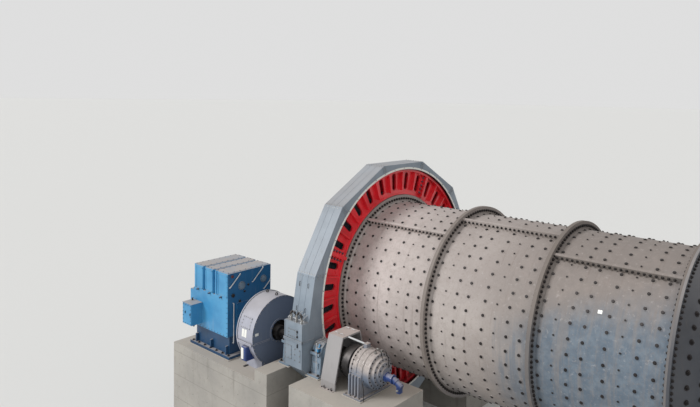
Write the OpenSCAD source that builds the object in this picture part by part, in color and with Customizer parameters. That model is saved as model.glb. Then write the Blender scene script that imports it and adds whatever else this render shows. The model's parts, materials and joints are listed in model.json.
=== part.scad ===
// Dual-pinion ball mill with its drives, bearings and foundations.
// Millimetres. +Z is up, +X runs along the mill axis, -Y is the inching drive's side.
// The origin is at ground level under the centre of the gear-end main bearing.

/* [Mill shell] */
// Outside radius of the shell
shell_r = 4040; // [3850:10:4150]
// Thickness of the shell plate
shell_t = 90; // [60:5:120]
// Length of each of the three shell sections
section_l = 4750; // [4300:50:5100]
// Height of the mill axis above ground level
axis_z = 8500; // [8300:50:9000]
// How far the girth flanges stand out from the shell
flange_h = 360; // [320:10:380]
// Thickness of one girth flange, two of them to a joint
flange_t = 75; // [60:5:90]
// How far the lengthwise joint flanges stand out from the shell
ledge_h = 250; // [180:10:280]
// Thickness of one lengthwise joint flange, two of them to a joint
ledge_t = 60; // [40:5:80]

/* [Heads and trunnions] */
// Thickness of the conical heads along the axis
head_t = 130; // [100:5:160]
// Radius of the trunnion journals
journal_r = 1650; // [1550:10:1700]
// Radius of the bore through each trunnion
trunnion_bore_r = 1300; // [1200:10:1350]
// Distance from the shell's end to the centre of its main bearing
bearing_reach = 2400; // [2300:20:2600]

/* [Ring gear and pinions] */
// Module of the teeth, pitch diameter over tooth count
tooth_module = 40; // [39:0.5:41]
// Teeth on the ring gear, a multiple of four
gear_teeth = 292; // [288:4:300]
// Teeth on each pinion
pinion_teeth = 21; // [20:1:24]
// Width of the gear face
gear_w = 850; // [750:25:900]
// Depth of the gear rim under the teeth
rim_t = 170; // [140:10:200]
// Slots in each quarter of the gear web
quarter_slots = 8; // [6:1:9]
// Angle of the pinions below the level of the mill axis
pinion_drop = 16; // [15:0.2:17.6]
// Radius of the pinion shafts
shaft_r = 210; // [180:5:230]

/* [Gear guard] */
// Clearance between the gear's tips and the guard's flats
guard_gap = 375; // [300:5:420]
// Thickness of the guard's plates
guard_t = 25; // [16:1:40]
// Clearance between the gear's faces and the guard's side plates
guard_side_gap = 115; // [80:5:140]
// How far the pinion box stands out past the pinion's tips
pinion_box_gap = 555; // [450:5:620]
// Outward lean of the guard's lower side panels
guard_flare = 9.5; // [7:0.5:11]

/* [Main bearings and piers] */
// Width of the bearing housings along the axis
housing_w = 1300; // [1100:20:1360]
// Depth from the mill axis to the tops of the piers
sole_drop = 3000; // [2800:50:3200]
// Width of the piers across the mill
pier_w = 6400; // [5800:100:6800]

/* [Drives] */
// Depth from the drive axis to the foundation under the pinion bearings
pinion_sole_drop = 1020; // [980:10:1150]
// Length of the motor housing
motor_l = 2830; // [2600:10:3000]
// Width of the motor housing
motor_w = 2660; // [2400:20:2800]
// Height of the motor housing's top above the drive axis
motor_rise = 2570; // [2400:10:2700]
// Outside radius of the clutch guard
clutch_guard_r = 1620; // [1500:10:1680]
// Length of the clutch guard along the drive axis
clutch_guard_l = 1100; // [1000:20:1300]
// Radius of the inching gearbox's largest ring
gearbox_r = 800; // [740:10:840]
// Length of the coupling guard along the drive axis
coupling_guard_l = 810; // [760:10:900]

/* [Hidden] */
$fn = 180;

// Fits
run_gap = 0.3;
clear = 60;

// Inching end of the near pinion's shaft: stub in the gearbox, and coupling drum
stub_r = 160;
drum_r = 700;

// Along the mill axis
gear_x = bearing_reach;
shell_end_x = gear_x + 3 * section_l;
outer_x = shell_end_x + bearing_reach;
flange_r = shell_r + flange_h;

// Gear
pitch_r = gear_teeth * tooth_module / 2;
tip_r = pitch_r + tooth_module;
root_r = pitch_r - 1.25 * tooth_module;
rim_in_r = root_r - rim_t;
gear_mid_x = gear_x - 200;
gear_x0 = gear_mid_x - gear_w / 2;
gear_x1 = gear_mid_x + gear_w / 2;
gear_turn = 65.5;
web_in_r = flange_r + 10;
hub_in_r = flange_r - 280;
head_flange_t = 90;

// Drive axes
pinion_pitch_r = pinion_teeth * tooth_module / 2;
pinion_tip_r = pinion_pitch_r + tooth_module;
centre_d = pitch_r + pinion_pitch_r;
drive_y = centre_d * cos(pinion_drop);
drive_z = axis_z - centre_d * sin(pinion_drop);

// Guard
guard_x0 = gear_x0 - guard_side_gap - guard_t;
guard_x1 = gear_x1 + guard_side_gap + guard_t;
guard_flat_r = tip_r + guard_gap + guard_t;
guard_r = guard_flat_r / cos(15);
guard_hole_r = tip_r - 110;
guard_back_r = web_in_r - 800;
// Upper corners of the guard's outline, as shares of its half width
guard_top = [[1.0016, 0.239], [0.7325, 0.696], [0.2596, 0.9634]];
pinion_box_y = drive_y + pinion_tip_r + pinion_box_gap;
pinion_box_top = drive_z + 1270;
pinion_box_bottom = drive_z - 720;

// Piers
pier_top = axis_z - sole_drop;
pier_x = guard_x0 - 200;

// Drive foundations
clutch_guard_up = 100;
motor_sole_drop = clutch_guard_r - clutch_guard_up + 40;
pinion_block_top = drive_z - pinion_sole_drop;
motor_block_top = drive_z - motor_sole_drop;
block_in_y = drive_y - 1650;
block_out_y = drive_y + 1900;
notch_x0 = guard_x0 - 150;
notch_x1 = guard_x1 + 150;
notch_z = axis_z - sqrt(pow(guard_r, 2) - pow(block_in_y, 2)) - 300;

// Depth of the motor's side panels below the drive axis, and its bays' joints
motor_skirt = 515;
bay_x = [motor_l * 0.335, motor_l * 0.625];

// Drive pieces from left to right, relative to the guard and the bearings
left_bearing_x1 = guard_x0 - 60;
left_bearing_x0 = left_bearing_x1 - 620;
clutch_guard_x1 = left_bearing_x0 - 820;
clutch_guard_x0 = clutch_guard_x1 - clutch_guard_l;
motor_x1 = clutch_guard_x0 - 1120;
motor_x0 = motor_x1 - motor_l;
right_bearing_x0 = guard_x1 + 60;
right_bearing_x1 = right_bearing_x0 + 620;
coupling_guard_x0 = right_bearing_x1 + 480;
coupling_guard_x1 = coupling_guard_x0 + coupling_guard_l;
gearbox_x0 = coupling_guard_x1 + 565;
inching_motor_drop = 110;
step_x = left_bearing_x0 - 300;
near_block_spare = 2000;
far_block_spare = 700;

// A flat outline drawn in Y and Z, drawn out along X from x0
module along_x(x0, l) {
  translate([x0, 0, 0])
    rotate([90, 0, 90])
      linear_extrude(height = l)
        children();
}

// An outline of radius and X, turned about the X axis
module turned_x() {
  rotate([90, 0, 90])
    rotate_extrude()
      children();
}

// Places drawings on the mill axis
module on_mill_axis() {
  translate([0, 0, axis_z])
    children();
}

// Places drawings on the near drive axis
module on_drive_axis() {
  translate([0, -drive_y, drive_z])
    children();
}

// Mirrors the near drive's drawings to the far side
module far_side() {
  mirror([0, 1, 0])
    children();
}

// A pie slice that reaches past radius r
module wedge(a0, a1, r) {
  polygon(concat([[0, 0]],
    [for (i = [0:4]) 1.2 * r * [cos(a0 + (a1 - a0) * i / 4), sin(a0 + (a1 - a0) * i / 4)]]));
}

// A flat ring
module ring(r0, r1) {
  difference() {
    circle(r = r1);
    circle(r = r0);
  }
}

// A flat ring between two angles
module ring_part(r0, r1, a0, a1) {
  intersection() {
    ring(r0, r1);
    wedge(a0, a1, r1);
  }
}

// One half of a shell section, its joint plane turned about the axis
module shell_half(k, turn) {
  x0 = gear_x + k * section_l;
  l = section_l - run_gap;
  r_in = shell_r - shell_t;
  ledge_r = shell_r + ledge_h;
  $fn = 360;
  on_mill_axis()
    translate([x0, 0, 0])
      rotate([turn, 0, 0])
        union() {
          intersection() {
            turned_x()
              polygon([
                [r_in, 0], [flange_r, 0], [flange_r, flange_t],
                [shell_r + 45, flange_t], [shell_r, flange_t + 90],
                [shell_r, l - flange_t - 90], [shell_r + 45, l - flange_t],
                [flange_r, l - flange_t], [flange_r, l], [r_in, l]
              ]);
            translate([-10, -flange_r - 10, 0])
              cube([section_l + 20, 2 * flange_r + 20, flange_r + 10]);
          }
          for (s = [-1, 1])
            translate([flange_t - 5, s > 0 ? shell_r - 30 : -ledge_r, 0])
              cube([section_l - 2 * flange_t + 10, ledge_h + 30, ledge_t]);
        }
}

// Outline of a head, radius against distance outward from the shell's end
module head_outline() {
  polygon([
    [shell_r - shell_t, 0], [flange_r, 0], [flange_r, head_flange_t],
    [shell_r + 60, head_flange_t], [journal_r + 500, 1150], [journal_r + 500, 1250],
    [trunnion_bore_r, 1250], [trunnion_bore_r, 1150 - head_t], [journal_r + 400, 1150 - head_t],
    [shell_r - shell_t - 60, 20]
  ]);
}

// Outline of a trunnion, radius against distance outward from the shell's end
module trunnion_outline() {
  jx0 = bearing_reach - housing_w / 2 - clear;
  jx1 = bearing_reach + housing_w / 2 + clear;
  polygon([
    [trunnion_bore_r, 1250], [journal_r + 430, 1250], [journal_r + 430, 1370],
    [journal_r + 130, 1400], [journal_r + 110, jx0 - 60],
    [journal_r + 110, jx0], [journal_r, jx0], [journal_r, jx1],
    [journal_r + 110, jx1], [journal_r + 110, jx1 + 80], [journal_r - 40, jx1 + 80],
    [journal_r - 40, jx1 + 320], [journal_r + 60, jx1 + 320], [journal_r + 60, jx1 + 400],
    [trunnion_bore_r, jx1 + 400]
  ]);
}

module at_gear_end() {
  translate([gear_x, 0, axis_z])
    mirror([1, 0, 0])
      turned_x()
        children();
}

module at_outer_end() {
  translate([shell_end_x, 0, axis_z])
    turned_x()
      children();
}

// Involute tooth form
function inv(a) = tan(a) * 180 / PI - a;
function base_r(z) = z * tooth_module / 2 * cos(20);
function half_tooth(z, r) = 90 / z + inv(20) - inv(acos(min(1, base_r(z) / r)));
function flank_radii(z) = let (p = z * tooth_module / 2, m = tooth_module)
  [p - 1.25 * m, max(p - 0.8 * m, base_r(z)), p - 0.2 * m, p + 0.4 * m, p + m];
function tooth(z, mid, slack) = let (rr = flank_radii(z), n = len(rr) - 1)
  concat(
    [for (i = [0:n]) rr[i] * [cos(mid - half_tooth(z, rr[i]) + slack),
      sin(mid - half_tooth(z, rr[i]) + slack)]],
    [for (i = [n:-1:0]) rr[i] * [cos(mid + half_tooth(z, rr[i]) - slack),
      sin(mid + half_tooth(z, rr[i]) - slack)]]);

// One quarter of the ring gear: toothed rim, slotted web, ribs and joint flanges
module gear_quarter(q) {
  step = 360 / gear_teeth;
  n = gear_teeth / 4;
  a0 = gear_turn + 90 * q;
  a1 = a0 + 90;
  bay = 90 / quarter_slots;
  slot_w = 300;
  slot_in = flange_r + 420;
  slot_out = rim_in_r - 200;
  rib_in = web_in_r + 240;
  plate_in = web_in_r + 60;
  on_mill_axis()
    intersection() {
      union() {
        along_x(gear_x0, gear_w)
          difference() {
            polygon(concat([[0, 0]],
              [for (i = [-1:n]) each tooth(gear_teeth, a0 + (i + 0.5) * step, 0.03)]));
            circle(r = rim_in_r);
          }
        difference() {
          along_x(gear_x - 100, 90)
            ring_part(web_in_r, rim_in_r + 30, a0 - 2, a1 + 2);
          for (i = [0:quarter_slots - 1])
            rotate([a0 + (i + 0.5) * bay, 0, 0])
              along_x(gear_x - 150, 200)
                union() {
                  translate([slot_in, -slot_w / 2])
                    square([slot_out - slot_in, slot_w]);
                  translate([slot_in, 0])
                    circle(r = slot_w / 2);
                  translate([slot_out, 0])
                    circle(r = slot_w / 2);
                }
        }
        along_x(gear_x - head_flange_t - 110, 110)
          ring_part(hub_in_r, web_in_r + 110, a0 - 2, a1 + 2);
        for (i = [1:quarter_slots - 1])
          rotate([a0 + i * bay, 0, 0])
            along_x(gear_x0 + 60, gear_w - 120)
              translate([rib_in, -30])
                square([rim_in_r - rib_in + 90, 60]);
        for (a = [a0, a1])
          rotate([a, 0, 0])
            along_x(gear_x0 + 30, gear_w - 60)
              translate([plate_in, -80])
                square([rim_in_r - plate_in + 60, 160]);
      }
      along_x(gear_x0 - 50, gear_w + 100)
        wedge(a0, a1, tip_r);
    }
}

// A pinion on its shaft, phi is the direction of its axis from the mill axis
module pinion(phi) {
  mid = phi + 180 + ((phi - gear_turn - 180 / gear_teeth) * gear_teeth - 180) / pinion_teeth;
  step = 360 / pinion_teeth;
  union() {
    along_x(gear_x0 - 20, gear_w + 40)
      polygon([for (i = [0:pinion_teeth - 1])
        each tooth(pinion_teeth, mid + i * step, 0.25)]);
    turned_x()
      polygon([
        [0, motor_x1 - 150], [shaft_r - 20, motor_x1 - 150],
        [shaft_r - 20, left_bearing_x0 - 120], [shaft_r, left_bearing_x0 - 120],
        [shaft_r, gear_x0 - 60], [shaft_r + 60, gear_x0 - 60], [shaft_r + 60, gear_x1 + 60],
        [shaft_r, gear_x1 + 60], [shaft_r, right_bearing_x1 + 120], [0, right_bearing_x1 + 120]
      ]);
  }
}

// The clutch's two discs and hub inside the clutch guard
module clutch() {
  mid = (clutch_guard_x0 + clutch_guard_x1) / 2;
  r = clutch_guard_r - 270;
  turned_x()
    polygon([
      [shaft_r - 20, mid - 400], [380, mid - 400], [380, mid - 330], [r, mid - 330],
      [r, mid + 260], [r - 160, mid + 260], [r - 160, mid - 200], [560, mid - 200],
      [560, mid + 330], [340, mid + 330], [340, mid + 740], [shaft_r - 20, mid + 740]
    ]);
}

// The parts that the inching side adds to the near pinion's shaft
module inching_shaft() {
  turned_x()
    polygon([
      [0, right_bearing_x1 + 100], [shaft_r, right_bearing_x1 + 100],
      [shaft_r, coupling_guard_x0 + 120], [420, coupling_guard_x0 + 120],
      [420, coupling_guard_x0 + 260], [300, coupling_guard_x0 + 280],
      [300, coupling_guard_x1 - 120], [620, coupling_guard_x1 - 100],
      [620, coupling_guard_x1 + 40], [drum_r, coupling_guard_x1 + 60],
      [drum_r, gearbox_x0 - 150], [drum_r - 40, gearbox_x0 - 130], [320, gearbox_x0 - 130],
      [320, gearbox_x0 - 60], [stub_r, gearbox_x0 - 60], [stub_r, gearbox_x0 + 150],
      [0, gearbox_x0 + 150]
    ]);
}

// A drive foundation: low under the motor and clutch, high under the pinion
module drive_block(x1) {
  x0 = motor_x0 - 900;
  w = block_out_y - block_in_y;
  difference() {
    union() {
      translate([x0, -block_out_y, 0])
        cube([x1 - x0, w, motor_block_top]);
      translate([step_x, -block_out_y, 0])
        cube([x1 - step_x, w, pinion_block_top]);
    }
    translate([notch_x0, -block_out_y - 10, notch_z])
      cube([notch_x1 - notch_x0, w + 20, axis_z]);
  }
}

// Main bearing housing below the axis
module bearing_base(x) {
  difference() {
    translate([x, 0, axis_z])
      union() {
        along_x(-housing_w / 2, housing_w)
          polygon([
            [-2450, -sole_drop], [2450, -sole_drop], [2450, -sole_drop + 160],
            [2250, -sole_drop + 160], [2130, -130], [2400, -130], [2400, 0],
            [-2400, 0], [-2400, -130], [-2130, -130], [-2250, -sole_drop + 160],
            [-2450, -sole_drop + 160]
          ]);
        for (y = [-1500, 0, 1500])
          translate([-housing_w / 2 - 40, y - 40, -sole_drop])
            cube([housing_w + 80, 80, sole_drop - journal_r - 350]);
      }
    translate([x - housing_w, 0, axis_z])
      rotate([0, 90, 0])
        cylinder(r = journal_r + run_gap, h = 2 * housing_w);
  }
}

// Main bearing housing above the axis
module bearing_cap(x) {
  difference() {
    translate([x, 0, axis_z])
      union() {
        intersection() {
          along_x(-housing_w / 2, housing_w)
            circle(r = journal_r + 330);
          translate([-housing_w, -3000, 0])
            cube([2 * housing_w, 6000, 3000]);
        }
        along_x(-housing_w / 2, housing_w)
          translate([-2400, 0])
            square([4800, 130]);
        for (dx = [-housing_w / 2, housing_w / 2 - 60])
          intersection() {
            along_x(dx, 60)
              circle(r = journal_r + 400);
            translate([-housing_w, -3000, 0])
              cube([2 * housing_w, 6000, 3000]);
          }
      }
    translate([x - housing_w, 0, axis_z])
      rotate([0, 90, 0])
        cylinder(r = journal_r + run_gap, h = 2 * housing_w);
  }
}

// Outline of the guard: flattened above, its lower side panels lean out to take in the pinions
module guard_body(inset) {
  f = guard_flat_r - inset;
  k = f * tan(15);
  lean_z = pinion_box_bottom - axis_z;
  lean_y = f + (k - lean_z) * tan(guard_flare);
  polygon(concat(
    [for (v = guard_top) f * v],
    [for (v = [2, 1, 0]) f * [-guard_top[v].x, guard_top[v].y]],
    [[-lean_y, lean_z]],
    [for (a = [225, 255, 285, 315]) f / cos(15) * [cos(a), sin(a)]],
    [[lean_y, lean_z]]));
}

// The same with the box over the pinion on each side
module guard_shape(inset) {
  union() {
    guard_body(inset);
    for (s = [-1, 1])
      translate([s > 0 ? guard_flat_r * 0.7 : -pinion_box_y + inset,
        pinion_box_bottom - axis_z + inset])
        square([pinion_box_y - inset - guard_flat_r * 0.7,
          pinion_box_top - pinion_box_bottom - 2 * inset]);
  }
}

module shaft_holes() {
  for (s = [-1, 1])
    translate([s * drive_y, drive_z - axis_z])
      circle(r = shaft_r + 25);
}

// One quarter of the gear guard, sy and sz pick the quarter
module guard_quarter(sy, sz) {
  w = guard_x1 - guard_x0;
  difference() {
    on_mill_axis()
      intersection() {
        union() {
          along_x(guard_x0, w)
            difference() {
              guard_shape(0);
              guard_shape(guard_t);
            }
          for (x = [guard_x0, guard_x1 - guard_t])
            along_x(x, guard_t)
              difference() {
                guard_shape(0);
                circle(r = x == guard_x0 ? guard_back_r : guard_hole_r);
                shaft_holes();
              }
        }
        translate([guard_x0 - 10, sy > 0 ? 0 : -2 * guard_r, sz > 0 ? 0 : -2 * guard_r])
          cube([w + 20, 2 * guard_r, 2 * guard_r]);
      }
    for (f = [0.3, 0.62])
      on_mill_axis()
        along_x(guard_x0 + f * w, 24)
          difference() {
            guard_body(-60);
            guard_body(guard_t / 3);
          }
  }
}

// White seal strip on the rim of the guard's front opening
module seal() {
  on_mill_axis()
    along_x(guard_x1, 20)
      ring(guard_hole_r, guard_hole_r + 45);
}

// Motor housing: cooler hood with three bays over the stator
module motor_housing() {
  half = motor_w / 2;
  bay_z = motor_rise - 1200;
  difference() {
    union() {
      translate([motor_x0, -half, -motor_skirt])
        cube([motor_l, motor_w, motor_rise + motor_skirt]);
      translate([motor_x0 - 300, -half + 20, -motor_skirt])
        cube([310, motor_w - 40, motor_skirt + 1230]);
    }
    for (x = bay_x, y = [-half - 10, half - 110])
      translate([motor_x0 + x - 150, y, bay_z])
        cube([200, 120, motor_rise]);
    for (y = [-half - 10, half - 40])
      translate([motor_x0 + bay_x[1] + 140, y, bay_z + 40])
        cube([110, 50, motor_rise]);
    for (y = [-half - 10, half - 60])
      translate([motor_x0 - 10, y, bay_z])
        cube([200, 70, motor_rise]);
    for (x = bay_x)
      translate([motor_x0 + x - 30, -half - 10, motor_rise - 70])
        cube([60, motor_w + 20, 80]);
    rotate([0, 90, 0])
      translate([0, 0, motor_x1 - 400])
        cylinder(r = shaft_r, h = 500);
  }
}

// Stator foot and soleplates under the motor
module motor_base() {
  half = motor_w / 2;
  union() {
    translate([motor_x0 + 60, -half + 160, -motor_sole_drop + 160])
      cube([motor_l - 120, motor_w - 320, motor_sole_drop - 160 - motor_skirt]);
    for (x = [motor_x0 + 150, motor_x0 + motor_l / 2 - 40, motor_x1 - 230])
      translate([x, -half + 20, -motor_sole_drop + 150])
        cube([80, motor_w - 40, 420]);
    translate([motor_x0 - 200, -half - 60, -motor_sole_drop])
      cube([motor_l + 400, motor_w + 120, 160]);
  }
}

module terminal_box() {
  translate([motor_x0 - 10, -motor_w / 2 - 620, -315])
    cube([760, 620, 1050]);
}

// Round guard over the clutch, on two feet
module clutch_guard() {
  r = clutch_guard_r;
  up = clutch_guard_up;
  foot_z = -motor_sole_drop;
  difference() {
    union() {
      translate([0, 0, up])
        along_x(clutch_guard_x0, clutch_guard_l)
          circle(r = r);
      translate([0, 0, up])
        along_x(clutch_guard_x0 - 30, 60)
          circle(r = r + 30);
      for (s = [-1, 1])
        translate([clutch_guard_x0, s * 900 - 150, foot_z])
          cube([clutch_guard_l, 300, 700]);
    }
    translate([0, 0, up])
      along_x(clutch_guard_x0 + 40, clutch_guard_l - 80)
        circle(r = r - 40);
    translate([0, 0, up])
      along_x(clutch_guard_x0 - 100, clutch_guard_l + 200)
        circle(r = 480);
  }
}

// Pedestal bearings on both sides of the gear guard
module pinion_bearings() {
  difference() {
    union() {
      for (x = [left_bearing_x0, right_bearing_x0]) {
        along_x(x + 40, 540)
          polygon([
            [-540, -pinion_sole_drop + 100], [540, -pinion_sole_drop + 100], [480, -60],
            [620, -60], [620, 60], [480, 60], [400, 280], [220, 430], [-220, 430],
            [-400, 280], [-480, 60], [-620, 60], [-620, -60], [-480, -60]
          ]);
        along_x(x, 620)
          circle(r = 360);
        translate([x - 20, -720, -pinion_sole_drop])
          cube([660, 1440, 110]);
      }
    }
    translate([left_bearing_x0 - 100, 0, 0])
      rotate([0, 90, 0])
        cylinder(r = shaft_r + run_gap, h = right_bearing_x1 - left_bearing_x0 + 200);
  }
}

// Outline of the hood over the inching coupling, wider at its foot
module hood_outline(inset) {
  top = 1125 - inset;
  foot = -pinion_sole_drop + (inset > 0 ? -10 : 0);
  polygon([
    [-1010 + inset, foot], [-1010 + inset, -700], [-700 + inset, 620], [-555 + inset / 2, top],
    [555 - inset / 2, top], [700 - inset, 620], [1010 - inset, -700], [1010 - inset, foot]
  ]);
}

// Hood over the inching coupling, open at the gearbox end
module coupling_guard() {
  x0 = coupling_guard_x0;
  l = coupling_guard_l;
  difference() {
    along_x(x0, l)
      hood_outline(0);
    along_x(x0 + 30, l - 90)
      hood_outline(30);
    along_x(x0 + l - 100, 200)
      hood_outline(70);
    along_x(x0 - 100, 200)
      circle(r = shaft_r + 60);
  }
}

// Ribbed stepped gearbox of the inching drive, on a box foot
module inching_gearbox_body() {
  x = gearbox_x0;
  r = gearbox_r;
  foot_z = -pinion_sole_drop;
  difference() {
    union() {
      turned_x()
        polygon([
          [0, x], [r - 40, x], [r, x + 30], [r, x + 120], [r - 35, x + 140], [r - 40, x + 260],
          [r - 5, x + 280], [r - 10, x + 380], [r - 45, x + 400], [r - 55, x + 560],
          [r - 25, x + 580], [r - 30, x + 680], [r - 65, x + 700], [r - 90, x + 900],
          [r - 60, x + 920], [r - 65, x + 1000], [r - 180, x + 1020], [r - 220, x + 1160],
          [r - 330, x + 1180], [r - 360, x + 1250], [r - 540, x + 1270], [r - 550, x + 1320],
          [0, x + 1320]
        ]);
      translate([x + 20, -r + 10, foot_z + 60])
        cube([640, 2 * r - 20, -foot_z - 60]);
      for (i = [0 : 3], s = [-1, 1])
        translate([x + 60 + i * 165, s * (r + 20) - 60, foot_z + 60])
          cube([60, 120, -foot_z - 160]);
      translate([x - 120, -r - 170, foot_z])
        cube([920, 2 * r + 340, 90]);
    }
    translate([x - 60, 0, 0])
      rotate([0, 90, 0])
        cylinder(r = stub_r + run_gap, h = 250);
  }
}

// Small hydraulic motor on the gearbox's end, its valve block hanging down
module inching_motor_body() {
  x = gearbox_x0 + 1320;
  translate([0, 0, -inching_motor_drop])
    union() {
      turned_x()
        polygon([
          [0, x], [195, x], [195, x + 60], [155, x + 75], [155, x + 330], [185, x + 345],
          [185, x + 400], [120, x + 415], [120, x + 450], [0, x + 450]
        ]);
      translate([x + 400, 0, 10])
        rotate([0, 118, 0])
          union() {
            cylinder(r = 125, h = 450);
            translate([0, 0, 110])
              cylinder(r = 155, h = 60);
            translate([0, 0, 340])
              cylinder(r = 140, h = 60);
          }
      translate([x + 610, -95, -450])
        cube([170, 190, 330]);
    }
}

module gear_end_pier() {
  color([0.55, 0.53, 0.50])
    translate([-pier_x, -pier_w / 2, 0])
      cube([2 * pier_x, pier_w, pier_top]);
}

module outer_end_pier() {
  color([0.55, 0.53, 0.50])
    translate([outer_x - pier_x, -pier_w / 2, 0])
      cube([2 * pier_x, pier_w, pier_top]);
}

module guard_plinth() {
  color([0.55, 0.53, 0.50])
    translate([guard_x0 + 50, -guard_r * sin(15) + 60, 0])
      cube([guard_x1 - guard_x0 - 100, 2 * guard_r * sin(15) - 120, axis_z - guard_flat_r]);
}

module near_drive_block() {
  color([0.55, 0.53, 0.50])
    drive_block(gearbox_x0 + near_block_spare);
}

module far_drive_block() {
  color([0.55, 0.53, 0.50])
    far_side()
      drive_block(right_bearing_x1 + far_block_spare);
}

module gear_end_bearing_base() {
  color([0.45, 0.55, 0.60])
    bearing_base(0);
}

module gear_end_bearing_cap() {
  color([0.45, 0.55, 0.60])
    bearing_cap(0);
}

module outer_end_bearing_base() {
  color([0.45, 0.55, 0.60])
    bearing_base(outer_x);
}

module outer_end_bearing_cap() {
  color([0.45, 0.55, 0.60])
    bearing_cap(outer_x);
}

module guard_upper_near() {
  color([0.60, 0.66, 0.70])
    guard_quarter(-1, 1);
}

module guard_upper_far() {
  color([0.60, 0.66, 0.70])
    guard_quarter(1, 1);
}

module guard_lower_near() {
  color([0.60, 0.66, 0.70])
    guard_quarter(-1, -1);
}

module guard_lower_far() {
  color([0.60, 0.66, 0.70])
    guard_quarter(1, -1);
}

module guard_seal() {
  color([0.92, 0.92, 0.88])
    seal();
}

module near_motor_housing() {
  color([0.25, 0.55, 0.75])
    on_drive_axis()
      motor_housing();
}

module near_motor_base() {
  color([0.15, 0.35, 0.50])
    on_drive_axis()
      motor_base();
}

module near_terminal_box() {
  color([0.25, 0.55, 0.75])
    on_drive_axis()
      terminal_box();
}

module near_clutch_guard() {
  color([0.55, 0.57, 0.60])
    on_drive_axis()
      clutch_guard();
}

module near_pinion_bearings() {
  color([0.50, 0.60, 0.65])
    on_drive_axis()
      pinion_bearings();
}

module near_coupling_guard() {
  color([0.75, 0.72, 0.68])
    on_drive_axis()
      coupling_guard();
}

module inching_gearbox() {
  color([0.62, 0.63, 0.62])
    on_drive_axis()
      inching_gearbox_body();
}

module inching_motor() {
  color([0.20, 0.35, 0.60])
    on_drive_axis()
      inching_motor_body();
}

module far_motor_housing() {
  color([0.25, 0.55, 0.75])
    far_side()
      on_drive_axis()
        motor_housing();
}

module far_motor_base() {
  color([0.15, 0.35, 0.50])
    far_side()
      on_drive_axis()
        motor_base();
}

module far_terminal_box() {
  color([0.25, 0.55, 0.75])
    far_side()
      on_drive_axis()
        terminal_box();
}

module far_clutch_guard() {
  color([0.55, 0.57, 0.60])
    far_side()
      on_drive_axis()
        clutch_guard();
}

module far_pinion_bearings() {
  color([0.50, 0.60, 0.65])
    far_side()
      on_drive_axis()
        pinion_bearings();
}

module shell_a_upper() {
  color([0.75, 0.70, 0.67])
    shell_half(0, -55);
}

module shell_a_lower() {
  color([0.75, 0.70, 0.67])
    shell_half(0, 125);
}

module shell_b_upper() {
  color([0.75, 0.70, 0.67])
    shell_half(1, -71);
}

module shell_b_lower() {
  color([0.75, 0.70, 0.67])
    shell_half(1, 109);
}

module shell_c_upper() {
  color([0.75, 0.70, 0.67])
    shell_half(2, -55);
}

module shell_c_lower() {
  color([0.75, 0.70, 0.67])
    shell_half(2, 125);
}

module gear_end_head() {
  color([0.25, 0.25, 0.26])
    at_gear_end()
      head_outline();
}

module outer_end_head() {
  color([0.25, 0.25, 0.26])
    at_outer_end()
      head_outline();
}

module gear_end_trunnion() {
  color([0.40, 0.41, 0.42])
    at_gear_end()
      trunnion_outline();
}

module outer_end_trunnion() {
  color([0.40, 0.41, 0.42])
    at_outer_end()
      trunnion_outline();
}

module ring_gear_q1() {
  color([0.80, 0.08, 0.12])
    gear_quarter(0);
}

module ring_gear_q2() {
  color([0.80, 0.08, 0.12])
    gear_quarter(1);
}

module ring_gear_q3() {
  color([0.80, 0.08, 0.12])
    gear_quarter(2);
}

module ring_gear_q4() {
  color([0.80, 0.08, 0.12])
    gear_quarter(3);
}

module near_pinion() {
  color([0.35, 0.35, 0.36])
    on_drive_axis()
      union() {
        pinion(180 + pinion_drop);
        inching_shaft();
      }
}

module near_clutch() {
  color([0.30, 0.31, 0.33])
    on_drive_axis()
      clutch();
}

module far_pinion() {
  color([0.35, 0.35, 0.36])
    translate([0, drive_y, drive_z])
      pinion(-pinion_drop);
}

module far_clutch() {
  color([0.30, 0.31, 0.33])
    far_side()
      on_drive_axis()
        clutch();
}

gear_end_pier();
outer_end_pier();
guard_plinth();
near_drive_block();
far_drive_block();
gear_end_bearing_base();
gear_end_bearing_cap();
outer_end_bearing_base();
outer_end_bearing_cap();
guard_upper_near();
guard_upper_far();
guard_lower_near();
guard_lower_far();
guard_seal();
near_motor_housing();
near_motor_base();
near_terminal_box();
near_clutch_guard();
near_pinion_bearings();
near_coupling_guard();
inching_gearbox();
inching_motor();
far_motor_housing();
far_motor_base();
far_terminal_box();
far_clutch_guard();
far_pinion_bearings();
shell_a_upper();
shell_a_lower();
shell_b_upper();
shell_b_lower();
shell_c_upper();
shell_c_lower();
gear_end_head();
outer_end_head();
gear_end_trunnion();
outer_end_trunnion();
ring_gear_q1();
ring_gear_q2();
ring_gear_q3();
ring_gear_q4();
near_pinion();
near_clutch();
far_pinion();
far_clutch();
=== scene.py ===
import json
from functools import partial
from math import asin, atan2, cos, radians, sin, sqrt, tan, tau
import bmesh
import bpy
from mathutils import Matrix, Vector


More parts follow.
